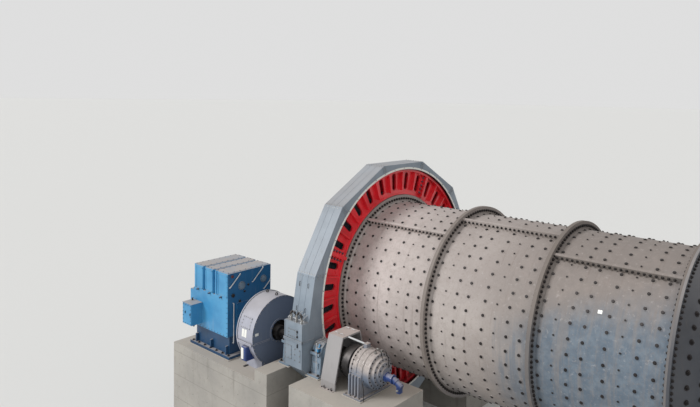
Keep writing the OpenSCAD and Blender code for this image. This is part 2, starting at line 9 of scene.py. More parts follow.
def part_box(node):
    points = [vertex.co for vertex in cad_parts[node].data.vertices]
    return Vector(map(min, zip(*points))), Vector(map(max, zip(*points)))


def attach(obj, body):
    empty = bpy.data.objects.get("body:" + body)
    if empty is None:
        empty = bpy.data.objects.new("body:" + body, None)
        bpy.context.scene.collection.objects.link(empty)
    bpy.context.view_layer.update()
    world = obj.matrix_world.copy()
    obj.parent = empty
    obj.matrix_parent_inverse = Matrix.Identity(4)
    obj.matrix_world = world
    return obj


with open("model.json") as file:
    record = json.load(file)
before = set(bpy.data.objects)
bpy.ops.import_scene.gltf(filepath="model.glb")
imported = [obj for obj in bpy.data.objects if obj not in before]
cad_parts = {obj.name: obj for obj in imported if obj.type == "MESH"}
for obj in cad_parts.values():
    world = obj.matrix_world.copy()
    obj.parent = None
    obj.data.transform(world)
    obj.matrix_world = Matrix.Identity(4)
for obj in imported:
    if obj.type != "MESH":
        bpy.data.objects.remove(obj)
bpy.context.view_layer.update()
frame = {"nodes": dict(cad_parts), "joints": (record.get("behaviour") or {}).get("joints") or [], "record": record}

print("frame loaded:", len(frame["nodes"]), "nodes")


class Sizes(dict):  # a dictionary whose values are read by name, as in mill.shellR
    __getattr__ = dict.__getitem__


def addObject(name, data):
    made = bpy.data.objects.new(name, data)
    bpy.context.collection.objects.link(made)
    return made


# Places that the frame gives, in metres
jointAt = {joint["name"]: joint["pos_m"] for joint in frame["joints"]}
nodeBox = {name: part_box(name) for name in frame["nodes"]}
mill = Sizes(
    axisZ=jointAt["drum_spin"][2],
    driveY=jointAt["far_pinion_spin"][1],
    driveZ=jointAt["far_pinion_spin"][2],
    startX=nodeBox["shell_a_upper"][0].x,
    endX=nodeBox["shell_c_upper"][1].x,
    sectionL=nodeBox["shell_b_upper"][0].x - nodeBox["shell_a_upper"][0].x,
    shellR=4.04,
    flangeT=0.075,
    headFlangeT=0.09,
    ledgeT=0.06,
    ledgeH=0.25,
    jointAngles=(55.0, 71.0, 55.0),  # each section's lengthwise joint
)
axis = Vector((0, 0, mill.axisZ))
forward = Vector((1, 0, 0))
crosswise = Vector((0, 1, 0))
upward = Vector((0, 0, 1))
sides = (("near", -1), ("far", 1))
soleUp = -1.02  # top of the drive block under the pinion, from the drive axis


def onShell(x, radius, angle):  # angle is above the horizontal, on the near side
    turn = radians(angle)
    return Vector((x, -radius * cos(turn), mill.axisZ + radius * sin(turn)))


def outward(angle):
    turn = radians(angle)
    return Vector((0, -cos(turn), sin(turn)))


def linear(red, green, blue):  # a colour as seen on a screen, 0 to 255
    def one(value):
        value = value / 255
        return value / 12.92 if value <= 0.04045 else ((value + 0.055) / 1.055) ** 2.4
    return (one(red), one(green), one(blue), 1.0)


# Nodes: one output of a node with its arithmetic, and the tree that it belongs to
class Wire:
    def __init__(self, graph, socket):
        self.graph = graph
        self.socket = socket

    def math(self, operation, *inputs):
        return self.graph.node("ShaderNodeMath", {"operation": operation}, dict(enumerate(inputs)))

    def __add__(self, other):
        return self.math("ADD", self, other)

    def __sub__(self, other):
        return self.math("SUBTRACT", self, other)

    def __rsub__(self, other):
        return self.math("SUBTRACT", other, self)

    def __mul__(self, other):
        return self.math("MULTIPLY", self, other)

    def atLeast(self, other):
        return self.math("MAXIMUM", self, other)

    __radd__ = __add__
    __rmul__ = __mul__


class Graph:
    def __init__(self, tree):
        self.tree = tree

    def node(self, kind, settings, values, output=0):
        made = self.tree.nodes.new(kind)
        for key, value in settings.items():
            setattr(made, key, value)
        for key, value in values.items():
            for one in value if isinstance(value, list) else [value]:
                if isinstance(one, Wire):
                    self.link(one, made.inputs[key])
                else:
                    made.inputs[key].default_value = one
        return Wire(self, made.outputs[output])

    def link(self, wire, socket):
        self.tree.links.new(wire.socket, socket)


# Camera, floor and light
view = Sizes(
    place=(21.99, -25.34, 18.0),
    yaw=41.18,
    down=2.83,
    roll=0.93,
    focal=622.9 / 700,  # in picture widths
    shift=(-0.0164, -0.1103),
    reach=4000,
)
studio = Sizes(
    floorHalf=1500,
    floorColour=(216, 216, 214),
    floorRoughness=0.9,
    sky=0.56,
    backdrop=0.735,
    key=((0.50, 0.80, -0.66), 2.2, 24),  # direction, power and softness
    fill=((-0.5, 0.8, -0.55), 0.5, 50),
)
camData = bpy.data.cameras.new("photoCamera")
camera = addObject("photoCamera", camData)
camData.sensor_width = 36
camData.lens = view.focal * camData.sensor_width
camData.shift_x, camData.shift_y = view.shift
camData.clip_end = view.reach
camera.matrix_world = (
    Matrix.Translation(view.place)
    @ Matrix.Rotation(radians(view.yaw), 4, "Z")
    @ Matrix.Rotation(radians(90 - view.down), 4, "X")
    @ Matrix.Rotation(radians(view.roll), 4, "Z")
)
bpy.context.scene.camera = camera
bpy.context.scene.view_settings.view_transform = "Standard"

for name in ("key", "fill"):
    direction, power, soft = studio[name]
    lamp = bpy.data.lights.new(name + "Light", "SUN")
    lamp.energy = power
    lamp.angle = radians(soft)
    holder = addObject(name + "Light", lamp)
    holder.rotation_euler = Vector(direction).to_track_quat("-Z", "Y").to_euler()

world = bpy.data.worlds.new("studio")
bpy.context.scene.world = world
world.use_nodes = True
sky = Graph(world.node_tree)
plain = sky.node("ShaderNodeLightPath", {}, {}, "Is Camera Ray")
for ray in ("Is Glossy Ray", "Is Transmission Ray"):
    plain = plain.atLeast(sky.node("ShaderNodeLightPath", {}, {}, ray))
levels = {"Value": plain, "To Min": studio.sky, "To Max": studio.backdrop}
background = world.node_tree.nodes["Background"]
background.inputs["Color"].default_value = (1, 1, 1, 1)
sky.link(sky.node("ShaderNodeMapRange", {}, levels), background.inputs["Strength"])

half = studio.floorHalf
floorMesh = bpy.data.meshes.new("floor")
corners = [(-half, -half, 0), (half, -half, 0), (half, half, 0), (-half, half, 0)]
floorMesh.from_pydata(corners, [], [(0, 1, 2, 3)])
floor = addObject("floor", floorMesh)
floorPaint = bpy.data.materials.new("floorPaint")
floorPaint.use_nodes = True
floorShader = floorPaint.node_tree.nodes["Principled BSDF"]
floorShader.inputs["Base Color"].default_value = linear(*studio.floorColour)
floorShader.inputs["Roughness"].default_value = studio.floorRoughness
floorMesh.materials.append(floorPaint)
print("camera, floor and light placed")


# Finishes: coats laid over each other, with colours as seen on a screen
class Finish(Graph):
    def __init__(self, name, roughness, metallic=0.0, coat=0.0):
        self.material = bpy.data.materials.new(name)
        self.material.use_nodes = True
        super().__init__(self.material.node_tree)
        self.shader = self.tree.nodes["Principled BSDF"]
        self.shader.inputs["Roughness"].default_value = roughness
        self.shader.inputs["Metallic"].default_value = metallic
        self.shader.inputs["Coat Weight"].default_value = coat
        self.place = self.node("ShaderNodeTexCoord", {}, {}, "Object")
        self.x, self.y, self.z = self.split(self.place)
        self.faceX, _, self.faceZ = self.split(self.node("ShaderNodeTexCoord", {}, {}, "Normal"))

    def split(self, vector):
        return [self.node("ShaderNodeSeparateXYZ", {}, {0: vector}, key) for key in ("X", "Y", "Z")]

    def noise(self, scale, detail, rough=0.55, vector=None):
        values = {"Scale": scale, "Detail": detail, "Roughness": rough}
        return self.node("ShaderNodeTexNoise", {}, {"Vector": vector or self.place, **values})

    def smooth(self, value, low, high):  # 0 below low, 1 above high
        values = {"Value": value, "From Min": low, "From Max": high}
        return self.node("ShaderNodeMapRange", {"interpolation_type": "SMOOTHSTEP"}, values)

    def streaks(self, scales, low, high, detail=4, rough=0.6):  # spots drawn out along an axis
        values = {0: self.place, 1: scales}
        drawn = self.node("ShaderNodeVectorMath", {"operation": "MULTIPLY"}, values)
        return self.smooth(self.noise(1.0, detail, rough, drawn), low, high)

    def wearSpots(self, scale, low, high):
        return self.smooth(self.noise(scale, 6, 0.7), low, high)

    def dust(self, amount, low=0.25, high=0.9):  # what settles on faces that look up
        thin = self.smooth(self.faceZ, low, high)
        return thin * (self.wearSpots(0.9, 0.2, 0.6) * 0.35 + 0.65) * amount

    def fromAxis(self):  # distance from the mill's axis
        up = self.z - mill.axisZ
        return up.math("SQRT", self.y * self.y + up * up)

    def mix(self, factor, first, second):
        values = {0: factor, 6: first, 7: second}
        for key in (6, 7):
            if isinstance(values[key], tuple):
                values[key] = linear(*values[key])
        return self.node("ShaderNodeMix", {"data_type": "RGBA"}, values, 2)

    def cloudy(self, pattern, pale, dark, low=0.35, high=0.7):
        return self.mix(self.smooth(pattern, low, high), pale, dark)

    def over(self, mask, colour):  # the next coat, where its mask is 1
        self.surface = self.mix(mask, self.surface, colour)

    def close(self, height, strength, distance, rough=None):
        self.link(self.surface, self.shader.inputs["Base Color"])
        if rough:
            self.link(rough, self.shader.inputs["Roughness"])
        values = {"Height": height, "Strength": strength, "Distance": distance}
        self.link(self.node("ShaderNodeBump", {}, values), self.shader.inputs["Normal"])
        return self.material


dustColour = (164, 157, 153)
formLift = 1.2  # height of one lift of the concrete's formwork
shellLook = Sizes(
    middle=(4.5, 9.0),  # along X, where the shell turns darker: thinner dust, and painted light lifting the end near the gear out of the gear guard's shadow
    dark=(9.5, 15.5),
    bands=(8.6, 12.6),
    bare=(11.8, 14.6),  # along X, where the paint shows
    bareBelow=(13.0, 11.0),
    under=(7.0, 4.9),  # height of the shell's underside
    rim=(4.31, 4.37),  # radius of the flanges' edges
)


def paintFinish(name, pale, dark, roughness=0.42, dustAmount=0.75, dusty=dustColour, stain=0.5):
    made = Finish(name, roughness, coat=0.15)
    cloud = made.noise(0.45, 5, 0.6)
    made.surface = made.cloudy(cloud, pale, dark)
    made.over(made.streaks((5.0, 5.0, 0.35), 0.56, 0.78) * (stain * 0.5), (96, 84, 72))
    made.over(made.wearSpots(7.0, 0.66, 0.74) * (stain * 0.35), (70, 62, 55))
    settled = made.dust(dustAmount)
    made.over(settled, dusty)
    rough = made.smooth(settled + cloud * 0.3, 0.0, 1.0) * 0.45 + roughness
    return made.close(made.noise(40, 2), 0.05, 0.004, rough)


def shellFinish(s):
    made = Finish("dustyShell", 0.72)
    slow = made.noise(0.32, 4, 0.55)
    fine = made.noise(3.2, 5, 0.65)
    pale = made.cloudy(slow, (198, 188, 184), (185, 175, 171), 0.3, 0.72)
    middle = made.cloudy(slow, (174, 166, 161), (160, 151, 147), 0.3, 0.72)
    # dust, and painted light: the shell is paler near the gear, against the gear guard's shadow
    made.surface = made.mix(made.smooth(made.x + slow * 2.0, *s.middle), pale, middle)
    made.over(made.smooth(made.x + slow * 4.0, *s.dark), (122, 115, 110))
    made.over(made.smooth(fine, 0.42, 0.75) * 0.45, (146, 136, 130))
    # painted shade: faces that look up are darkened, as less light falls from above
    made.over(made.smooth(made.faceZ, 0.15, 0.8) * 0.3, (140, 129, 124))
    paint = made.cloudy(fine, (86, 99, 112), (103, 115, 126))
    far = made.smooth(made.x + slow * 4.0, *s.bare)
    low = made.smooth(made.z + slow * 3.0 - (made.x - 14.0) * 0.35, *s.bareBelow)
    under = made.smooth(made.z + slow * 1.6, *s.under)
    bands = made.streaks((1.5, 0.16, 0.16), 0.48, 0.6)
    early = made.smooth(made.x + slow * 2.0, *s.bands) * low * bands * 0.75
    left = made.streaks((2.6, 0.25, 0.25), 0.47, 0.62, 5, 0.7)
    bare = (far * low).atLeast(under * 0.5) * (1 - left * 0.5)
    made.over(bare.atLeast(early), paint)
    made.over(made.streaks((7.5, 0.3, 0.3), 0.58, 0.74, 3) * 0.3, (112, 98, 90))
    made.over(made.wearSpots(11.0, 0.5, 0.68) * 0.3, (118, 108, 101))
    made.over(made.wearSpots(6.0, 0.56, 0.72) * 0.25, (196, 190, 186))
    edge = made.smooth(made.faceX * made.faceX, 0.5, 0.9)
    made.over(edge * 0.5, (104, 95, 90))
    rim = made.smooth(made.fromAxis(), *s.rim)
    made.over(rim * (1 - edge) * 0.7, (102, 93, 86))
    return made.close(fine * 0.7 + made.noise(28, 3) * 0.3, 0.18, 0.01)


def concreteFinish():
    made = Finish("castConcrete", 0.86)
    fine = made.noise(5.0, 6, 0.7)
    upright = 1 - made.smooth(made.faceZ, 0.3, 0.8)
    made.surface = made.cloudy(made.noise(0.35, 5, 0.6), (160, 156, 149), (139, 136, 131), 0.3)
    made.over(made.smooth(fine, 0.5, 0.8) * 0.4, (112, 108, 102))
    made.over(made.streaks((1.6, 1.6, 0.16), 0.55, 0.72) * 0.35 * upright, (98, 92, 86))
    lift = made.z.math("FRACT", made.z * (1 / formLift))
    line = made.smooth(lift, 0.965, 0.985) * upright
    made.over(line * 0.4, (105, 101, 96))
    made.over(made.dust(0.8), (178, 170, 160))
    return made.close(fine * 0.8 - line * 0.6, 0.25, 0.02)


def gearFinish(greaseR=(5.72, 5.84), shadeBelowZ=(8.2, 4.2)):  # greased teeth, and painted shade darkening the lower half
    made = Finish("redGear", 0.3, coat=0.35)
    cloud = made.noise(0.8, 4, 0.6)
    made.surface = made.cloudy(cloud, (234, 40, 52), (212, 28, 41))
    made.over(made.smooth(made.fromAxis() + cloud * 0.12, *greaseR) * 0.9, (38, 30, 28))
    # painted shade: the gear darkens towards its lower half
    made.over(made.smooth(made.z + cloud * 1.4, *shadeBelowZ) * 0.4, (110, 14, 22))
    made.over(made.dust(0.3, 0.5, 0.95), (170, 120, 112))
    return made.close(made.noise(26, 3), 0.08, 0.006, cloud * 0.3 + 0.18)


def steelFinish(name, pale, worn, roughness, metallic, dustAmount=0.3):
    made = Finish(name, roughness, metallic)
    cloud = made.noise(2.2, 5, 0.65)
    made.surface = made.cloudy(cloud, pale, worn)
    made.over(made.dust(dustAmount), dustColour)
    return made.close(made.noise(60, 2), 0.06, 0.002, cloud * 0.25 + (roughness - 0.1))


# a paint whose faces that look along +X carry painted shade
def shadedEndFinish(name, pale, dark, shadedEndColour, roughness, dustAmount, endX=(-2.9, -2.3)):
    made = Finish(name, roughness, coat=0.12)
    cloud = made.noise(0.7, 4, 0.6)
    made.surface = made.cloudy(cloud, pale, dark)
    # painted shade: faces turned to +X, from the given x on, take the darker end colour
    made.over(made.smooth(made.faceX, 0.55, 0.9) * made.smooth(made.x, *endX), shadedEndColour)
    made.over(made.streaks((6.0, 6.0, 0.4), 0.58, 0.76) * 0.22, (150, 150, 148))
    settled = made.dust(dustAmount)
    made.over(settled, dustColour)
    rough = made.smooth(settled + cloud * 0.3, 0.0, 1.0) * 0.5 + roughness
    return made.close(made.noise(36, 2), 0.05, 0.004, rough)


def gearboxFinish():  # dust lies thick on the upper half, blue-grey paint shows below
    made = Finish("gearboxPaint", 0.6, coat=0.05)
    cloud = made.noise(1.6, 5, 0.6)
    fine = made.noise(9.0, 5, 0.7)
    made.surface = made.cloudy(cloud, (110, 121, 138), (88, 98, 114))
    thick = made.smooth(made.faceZ + cloud * 0.5, 0.0, 0.75)
    made.over(thick * 0.95, made.cloudy(fine, (176, 167, 162), (150, 141, 135)))
    made.over(made.streaks((7.0, 2.0, 2.0), 0.55, 0.75) * 0.4, (72, 66, 62))
    return made.close(fine, 0.15, 0.006, thick * 0.25 + 0.5)


finishes = {
    "shell_paint": shellFinish(shellLook),
    "concrete": concreteFinish(),
    "gear_red": gearFinish(),
    "bearing_paint": paintFinish("bearingPaint", (124, 142, 158), (102, 121, 138)),
    "guard_paint": paintFinish("guardPaint", (135, 146, 157), (113, 125, 137), 0.45, 0.5),
    # the third colour of the motors and clutch guards is painted shade on their +X faces
    "motor_blue": shadedEndFinish(
        "motorBlue", (74, 148, 192), (57, 130, 177), (34, 96, 142), 0.36, 0.97),
    "motor_dark_blue": paintFinish("motorBasePaint", (26, 68, 104), (20, 54, 86), 0.4, 0.8),
    "clutch_guard_paint": shadedEndFinish(
        "clutchGuardPaint", (164, 166, 178), (147, 149, 161), (96, 107, 127), 0.4, 0.5),
    "coupling_guard_paint": paintFinish(
        "couplingGuardPaint", (150, 147, 147), (136, 134, 134), 0.5, 0.85, (182, 169, 162)),
    "gearbox_paint": gearboxFinish(),
    "small_motor_blue": paintFinish("smallMotorPaint", (36, 66, 128), (24, 48, 98), 0.35, 0.5),
    "head_paint": paintFinish("headPaint", (66, 68, 74), (52, 54, 60), 0.5, 0.6),
    "machined_steel": steelFinish("machinedSteel", (150, 150, 148), (112, 110, 106), 0.35, 0.9),
    "dark_steel": steelFinish("darkSteel", (62, 60, 60), (44, 42, 42), 0.45, 0.7),
    "seal_strip": paintFinish("sealStrip", (230, 230, 225), (216, 216, 210), 0.6, 0.15, stain=0.2),
}
boltFinish = steelFinish("blackBolts", (42, 37, 37), (28, 25, 25), 0.58, 0.35, 0.1)
zincFinish = steelFinish("zincBolts", (168, 168, 166), (138, 136, 132), 0.4, 0.8)
pipeFinish = steelFinish("palePipe", (206, 208, 210), (180, 182, 184), 0.4, 0.3, 0.2)

for part in frame["record"]["subparts"]:
    for spot in frame["nodes"][part["node"]].material_slots:
        spot.material = finishes[part["material_slot"]]
print("finishes made:", len(finishes) + 3)


# Geometry Nodes: the trees for what repeats
class Plan(Graph):
    def __init__(self, name, **sizes):
        super().__init__(bpy.data.node_groups.new(name, "GeometryNodeTree"))
        given = {"Geometry": "Geometry", "Material": "Material", **sizes}
        sockets = self.tree.interface
        for label, kind in given.items():
            sockets.new_socket(label, in_out="INPUT", socket_type="NodeSocket" + kind)
        sockets.new_socket("Geometry", in_out="OUTPUT", socket_type="NodeSocketGeometry")
        self.given = self.tree.nodes.new("NodeGroupInput")
        self.result = self.tree.nodes.new("NodeGroupOutput")

    def size(self, label):
        return Wire(self, self.given.outputs[label])

    def drum(self, sides, radius, height, lift):  # a cylinder standing on Z, its foot at lift
        values = {"Vertices": sides, "Radius": radius, "Depth": height}
        shape = self.node("GeometryNodeMeshCylinder", {"fill_type": "NGON"}, values, "Mesh")
        up = self.node("ShaderNodeCombineXYZ", {}, {"Z": height * 0.5 + lift})
        return self.node("GeometryNodeTransform", {}, {"Geometry": shape, "Translation": up})

    def facing(self):  # turns Z to the points' "out" attribute
        kind = {"data_type": "FLOAT_VECTOR"}
        out = self.node("GeometryNodeInputNamedAttribute", kind, {"Name": "out"})
        return self.node("FunctionNodeAlignRotationToVector", {"axis": "Z"}, {"Vector": out})

    def spread(self, points, shape, **turn):
        values = {"Points": points, "Instance": shape, **turn}
        return self.node("GeometryNodeInstanceOnPoints", {}, values)

    def real(self, geometry):
        return self.node("GeometryNodeRealizeInstances", {}, {"Geometry": geometry})

    def close(self, geometry):
        values = {"Geometry": self.real(geometry), "Material": self.size("Material")}
        self.link(self.node("GeometryNodeSetMaterial", {}, values), self.result.inputs["Geometry"])
        return self.tree


boltLabels = [part + size for part in ("Nut", "Washer", "Stud") for size in (" Radius", " Height")]
boltInputs = {**dict.fromkeys(boltLabels, "Float"), "Seed": "Int"}


def boltHeads(plan, points):  # washer, nut and stud on every point, facing its "out" attribute
    size = {label: plan.size(label) for label in boltInputs}
    washer = plan.drum(12, size["Washer Radius"], size["Washer Height"], -0.002)
    nut = plan.drum(6, size["Nut Radius"], size["Nut Height"], size["Washer Height"])
    studFoot = size["Washer Height"] + size["Nut Height"]
    stud = plan.drum(8, size["Stud Radius"], size["Stud Height"], studFoot)
    head = plan.node("GeometryNodeJoinGeometry", {}, {"Geometry": [washer, nut, stud]})
    values = {2: 0.0, 3: tau, "Seed": size["Seed"]}
    spin = plan.node("FunctionNodeRandomValue", {"data_type": "FLOAT"}, values, 1)
    spin = plan.node("ShaderNodeCombineXYZ", {}, {"Z": spin})
    values = {"Rotation": plan.facing(), "Rotate By": spin}
    turn = plan.node("FunctionNodeRotateRotation", {"rotation_space": "LOCAL"}, values)
    return plan.spread(points, head, Rotation=turn)


def boltFieldTree():  # bolts on given points
    plan = Plan("boltField", **boltInputs)
    return plan.close(boltHeads(plan, plan.size("Geometry")))


def boltRingTree():  # a ring of bolts round each given point, across its "out" axis
    plan = Plan("boltRings", **boltInputs, Count="Int", Reach="Float")
    values = {"Vertices": plan.size("Count"), "Radius": plan.size("Reach")}
    ring = plan.node("GeometryNodeMeshCircle", {}, values)
    rings = plan.spread(plan.size("Geometry"), ring, Rotation=plan.facing())
    return plan.close(boltHeads(plan, plan.real(rings)))


def slatTree():  # a slat on each given point, all leaning the same way
    plan = Plan("slats", Size="Vector", Lean="Vector")
    slat = plan.node("GeometryNodeMeshCube", {}, {"Size": plan.size("Size")}, "Mesh")
    slat = plan.node("GeometryNodeTransform", {}, {"Geometry": slat, "Rotation": plan.size("Lean")})
    return plan.close(plan.spread(plan.size("Geometry"), slat))


def pipeTree():  # a round pipe along the given edges, its corners bent to Bend
    plan = Plan("pipes", Radius="Float", Bend="Float")
    path = plan.node("GeometryNodeMeshToCurve", {}, {"Mesh": plan.size("Geometry")})
    values = {"Curve": path, "Radius": plan.size("Bend"), "Limit Radius": True, "Count": 5}
    path = plan.node("GeometryNodeFilletCurve", {"mode": "POLY"}, values)
    values = {"Resolution": 10, "Radius": plan.size("Radius")}
    hoop = plan.node("GeometryNodeCurvePrimitiveCircle", {}, values)
    values = {"Curve": path, "Profile Curve": hoop, "Fill Caps": True}
    return plan.close(plan.node("GeometryNodeCurveToMesh", {}, values))


trees = {"field": boltFieldTree(), "ring": boltRingTree(), "slats": slatTree(), "pipes": pipeTree()}


def placed(piece, body):
    piece.data.polygons.foreach_set("use_smooth", [True] * len(piece.data.polygons))
    piece.data.set_sharp_from_angle(angle=radians(34))
    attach(piece, body)


def grow(name, tree, places, sizes, body="plant", edges=()):
    # places is a list of (point, outward); the tree's result replaces the points
    mesh = bpy.data.meshes.new(name)
    mesh.from_pydata([place for place, _ in places], edges, [])
    out = mesh.attributes.new("out", "FLOAT_VECTOR", "POINT")
    out.data.foreach_set("vector", [value for _, facing in places for value in facing])
    piece = addObject(name, mesh)
    maker = piece.modifiers.new("grow", "NODES")
    maker.node_group = trees[tree]
    for item in trees[tree].interface.items_tree:
        if item.in_out == "INPUT" and item.name in sizes:
            maker[item.identifier] = sizes[item.name]
    grown = piece.evaluated_get(bpy.context.evaluated_depsgraph_get())
    done = bpy.data.meshes.new_from_object(grown)
    piece.modifiers.clear()
    done.name = name
    piece.data = done
    placed(piece, body)


def bolts(nut, washer=0.0, material=boltFinish, seed=1, stud=True):
    return {
        "Material": material, "Nut Radius": nut, "Nut Height": nut * 0.8,
        "Washer Radius": max(washer, nut * 1.02), "Washer Height": 0.014 if washer else 0.006,
        "Stud Radius": nut * 0.55, "Stud Height": nut * 0.45 if stud else 0.004, "Seed": seed,
    }


# Hand-built pieces: one mesh gathers its solids, then is finished once
class Solid:
    def __init__(self):
        self.bm = bmesh.new()

    def box(self, low, high, chamfer=0.008):
        low, high = Vector(low), Vector(high)
        span = [abs(value) for value in high - low]
        made = bmesh.ops.create_cube(self.bm, size=1.0)["verts"]
        place = Matrix.Translation((low + high) / 2) @ Matrix.Diagonal((*span, 1))
        bmesh.ops.transform(self.bm, matrix=place, verts=made)
        edges = list(dict.fromkeys(edge for vert in made for edge in vert.link_edges))
        offset = min(chamfer, min(span) * 0.4)
        bmesh.ops.bevel(self.bm, geom=edges, offset=offset, segments=1, affect="EDGES")

    def lathe(self, profile, centre, direction, sides=32, hoop=False):
        # profile is (along, radius) pairs; a hoop's last pair joins its first, others are capped
        turn = Vector(direction).to_track_quat("Z", "Y").to_matrix()
        rings = []
        for along, radius in profile:
            ring = []
            for i in range(sides):
                a = tau * i / sides
                spot = turn @ Vector((radius * cos(a), radius * sin(a), along))
                ring.append(self.bm.verts.new(centre + spot))
            rings.append(ring)
        for lower, upper in zip(rings, rings[1:] + (rings[:1] if hoop else [])):
            for i in range(sides):
                j = (i + 1) % sides
                self.bm.faces.new((lower[i], lower[j], upper[j], upper[i]))
        if not hoop:
            self.bm.faces.new(rings[0][::-1])
            self.bm.faces.new(rings[-1])

    def hoop(self, inner, outer, start, end, centre, direction, sides=20):
        profile = [(start, inner), (start, outer), (end, outer), (end, inner)]
        self.lathe(profile, centre, direction, sides, True)

    def plate(self, outline, normal, thickness):  # a flat outline, thickened along normal
        shift = Vector(normal) * thickness
        low = [self.bm.verts.new(p) for p in outline]
        high = [self.bm.verts.new(p + shift) for p in outline]
        self.bm.faces.new(low[::-1])
        self.bm.faces.new(high)
        for i in range(len(low)):
            j = (i + 1) % len(low)
            self.bm.faces.new((low[i], low[j], high[j], high[i]))

    def panel(self, spots, centre, facing, up, width, height, thick, pitch=0.25, inset=0.035):
        # a bolted cover; its bolts' places are added to spots
        across = up.cross(facing)
        corners = [
            centre + across * a * width / 2 + up * b * height / 2
            for a, b in ((-1, -1), (1, -1), (1, 1), (-1, 1))]
        self.plate(corners, facing, thick)
        halfW, halfH = width / 2 - inset, height / 2 - inset
        countW, countH = max(1, round(2 * halfW / pitch)), max(1, round(2 * halfH / pitch))
        face = centre + facing * thick
        for i in range(countW + 1):
            place = face + across * halfW * (2 * i / countW - 1)
            spots += [(place + up * end * halfH, facing) for end in (-1, 1)]
        for i in range(1, countH):
            place = face + up * halfH * (2 * i / countH - 1)
            spots += [(place + across * end * halfW, facing) for end in (-1, 1)]

    def done(self, name, slotName, finish=None, body="plant"):
        bmesh.ops.recalc_face_normals(self.bm, faces=self.bm.faces)
        mesh = bpy.data.meshes.new(name)
        self.bm.to_mesh(mesh)
        self.bm.free()
        mesh.materials.append(finish or finishes[slotName])
        placed(addObject(name, mesh), body)


def stepped(*steps):  # a turned profile from (radius, end) pairs, with a short cone between them
    profile, start = [], 0
    for radius, end in steps:
        profile += [(start, radius), (end, radius)]
        start = end + 0.005
    return profile


# Places for bolts and pipes
def ringSpots(centre, facing, radius, count, first=0.0):
    turn = facing.to_track_quat("Z", "Y").to_matrix()
    spots = []
    for i in range(count):
        a = radians(first) + tau * i / count
        spots.append((centre + turn @ Vector((cos(a), sin(a), 0)) * radius, facing))
    return spots


def rowSpots(start, end, count, facing):
    start, end = Vector(start), Vector(end)
    return [(start.lerp(end, i / (count - 1)), facing) for i in range(count)]


def drive(side, x, out, up):  # a place beside a drive axis: out is away from the mill
    return Vector((x, side * (mill.driveY + out), mill.driveZ + up))


def driveFrom(side, start, along, out, up):
    return drive(side, start + along, out, up)


def driveRow(side, ends, out, up, count, facing):
    return rowSpots(drive(side, ends[0], out, up), drive(side, ends[1], out, up), count, facing)


def staple(start, end, rise):
    rise = Vector(rise)
    return [start, start + rise, end + rise, end]


def pipes(name, runs, radius, bend, finish=pipeFinish):
    places, edges = [], []
    for run in runs:
        edges += [(len(places) + i, len(places) + i + 1) for i in range(len(run) - 1)]
        places += [(point, upward) for point in run]
    sizes = {"Material": finish, "Radius": radius, "Bend": bend}
    grow(name, "pipes", places, sizes, edges=edges)


# Shell: liner bolts, flange bolts and the lengthwise joints' bolts
shellBolts = Sizes(
    rows=46, firstAngle=52.4,
    columns=(0.25, 0.79, 1.33, 1.86, 2.63, 3.16, 3.70, 4.26),
    smallColumns=((2, 5), (1, 5), (1, 5)),  # in each section
    nut=0.062, smallNut=0.038, washer=0.1, smallWasher=0.06,
    flat={"Nut Height": 0.028, "Washer Height": 0.016, "Stud Height": 0.012},
    tag=(14.18, 30.1), tagSize=(0.13, 0.16, 0.016),
    flangeCount=132, flangeBoltR=4.215, flangeNut=0.058, gearFlangeT=0.11,
    jointPitch=0.2, jointNut=0.05, jointClear=0.12,
)


def shellBoltPieces(s):
    large, small = [], []
    for section, smallOnes in enumerate(s.smallColumns):
        for column, along in enumerate(s.columns):
            x = mill.startX + section * mill.sectionL + along
            for row in range(s.rows):
                angle = s.firstAngle + 360 * row / s.rows
                spot = (onShell(x, mill.shellR, angle), outward(angle))
                (small if column in smallOnes else large).append(spot)
    grow("liner_bolts", "field", large, {**bolts(s.nut), **s.flat}, body="drum")
    grow("liner_plugs", "field", small, bolts(s.smallNut, seed=2), body="drum")
    seats = Solid()
    for spots, radius in ((large, s.washer), (small, s.smallWasher)):
        profile = [(-0.004, radius), (0.007, radius), (0.013, radius * 0.8)]
        for place, facing in spots:
            seats.lathe(profile, place, facing, 10)
    x, angle = s.tag
    spot = onShell(x, mill.shellR - 0.006, angle)
    tag = Solid()
    tag.panel([], spot, outward(angle), forward, *s.tagSize)
    tag.lathe(stepped((0.03, 0.024)), spot, outward(angle), 14)
    tag.done("shell_tag", "seal_strip", body="drum")
    seats.done("liner_bolt_seats", "shell_paint", body="drum")


def boltRings(name, faces, count, radius, kind):  # rings of bolts round the mill's axis
    places = [(axis + Vector((x, 0, 0)), Vector((side, 0, 0))) for x, side in faces]
    grow(name, "ring", places, {**kind, "Count": count, "Reach": radius}, body="drum")


def flangeBoltPieces(s):
    t, head = mill.flangeT, mill.headFlangeT
    start, end, step = mill.startX, mill.endX, mill.sectionL
    faces = [(start + t, 1), (start - head - s.gearFlangeT, -1), (end - t, -1), (end + head, 1)]
    faces += [(start + step * k + side * t, side) for k in (1, 2) for side in (-1, 1)]
    boltRings("flange_bolts", faces, s.flangeCount, s.flangeBoltR, bolts(s.flangeNut))


def jointBoltPieces(s):
    places = []
    inner = mill.flangeT + s.jointClear
    count = int((mill.sectionL - 2 * inner) / s.jointPitch)
    for section, first in enumerate(mill.jointAngles):
        for angle in (first, first + 180):
            along = Vector((0, sin(radians(angle)), cos(radians(angle))))
            for i in range(count + 1):
                x = mill.startX + section * mill.sectionL + inner + i * s.jointPitch
                middle = onShell(x, mill.shellR + mill.ledgeH * 0.55, angle)
                for side in (-1, 1):
                    places.append((middle + along * side * mill.ledgeT, along * side))
    grow("joint_bolts", "field", places, bolts(s.jointNut, seed=4), body="drum")


shellBoltPieces(shellBolts)
flangeBoltPieces(shellBolts)
jointBoltPieces(shellBolts)
print("shell bolts placed")


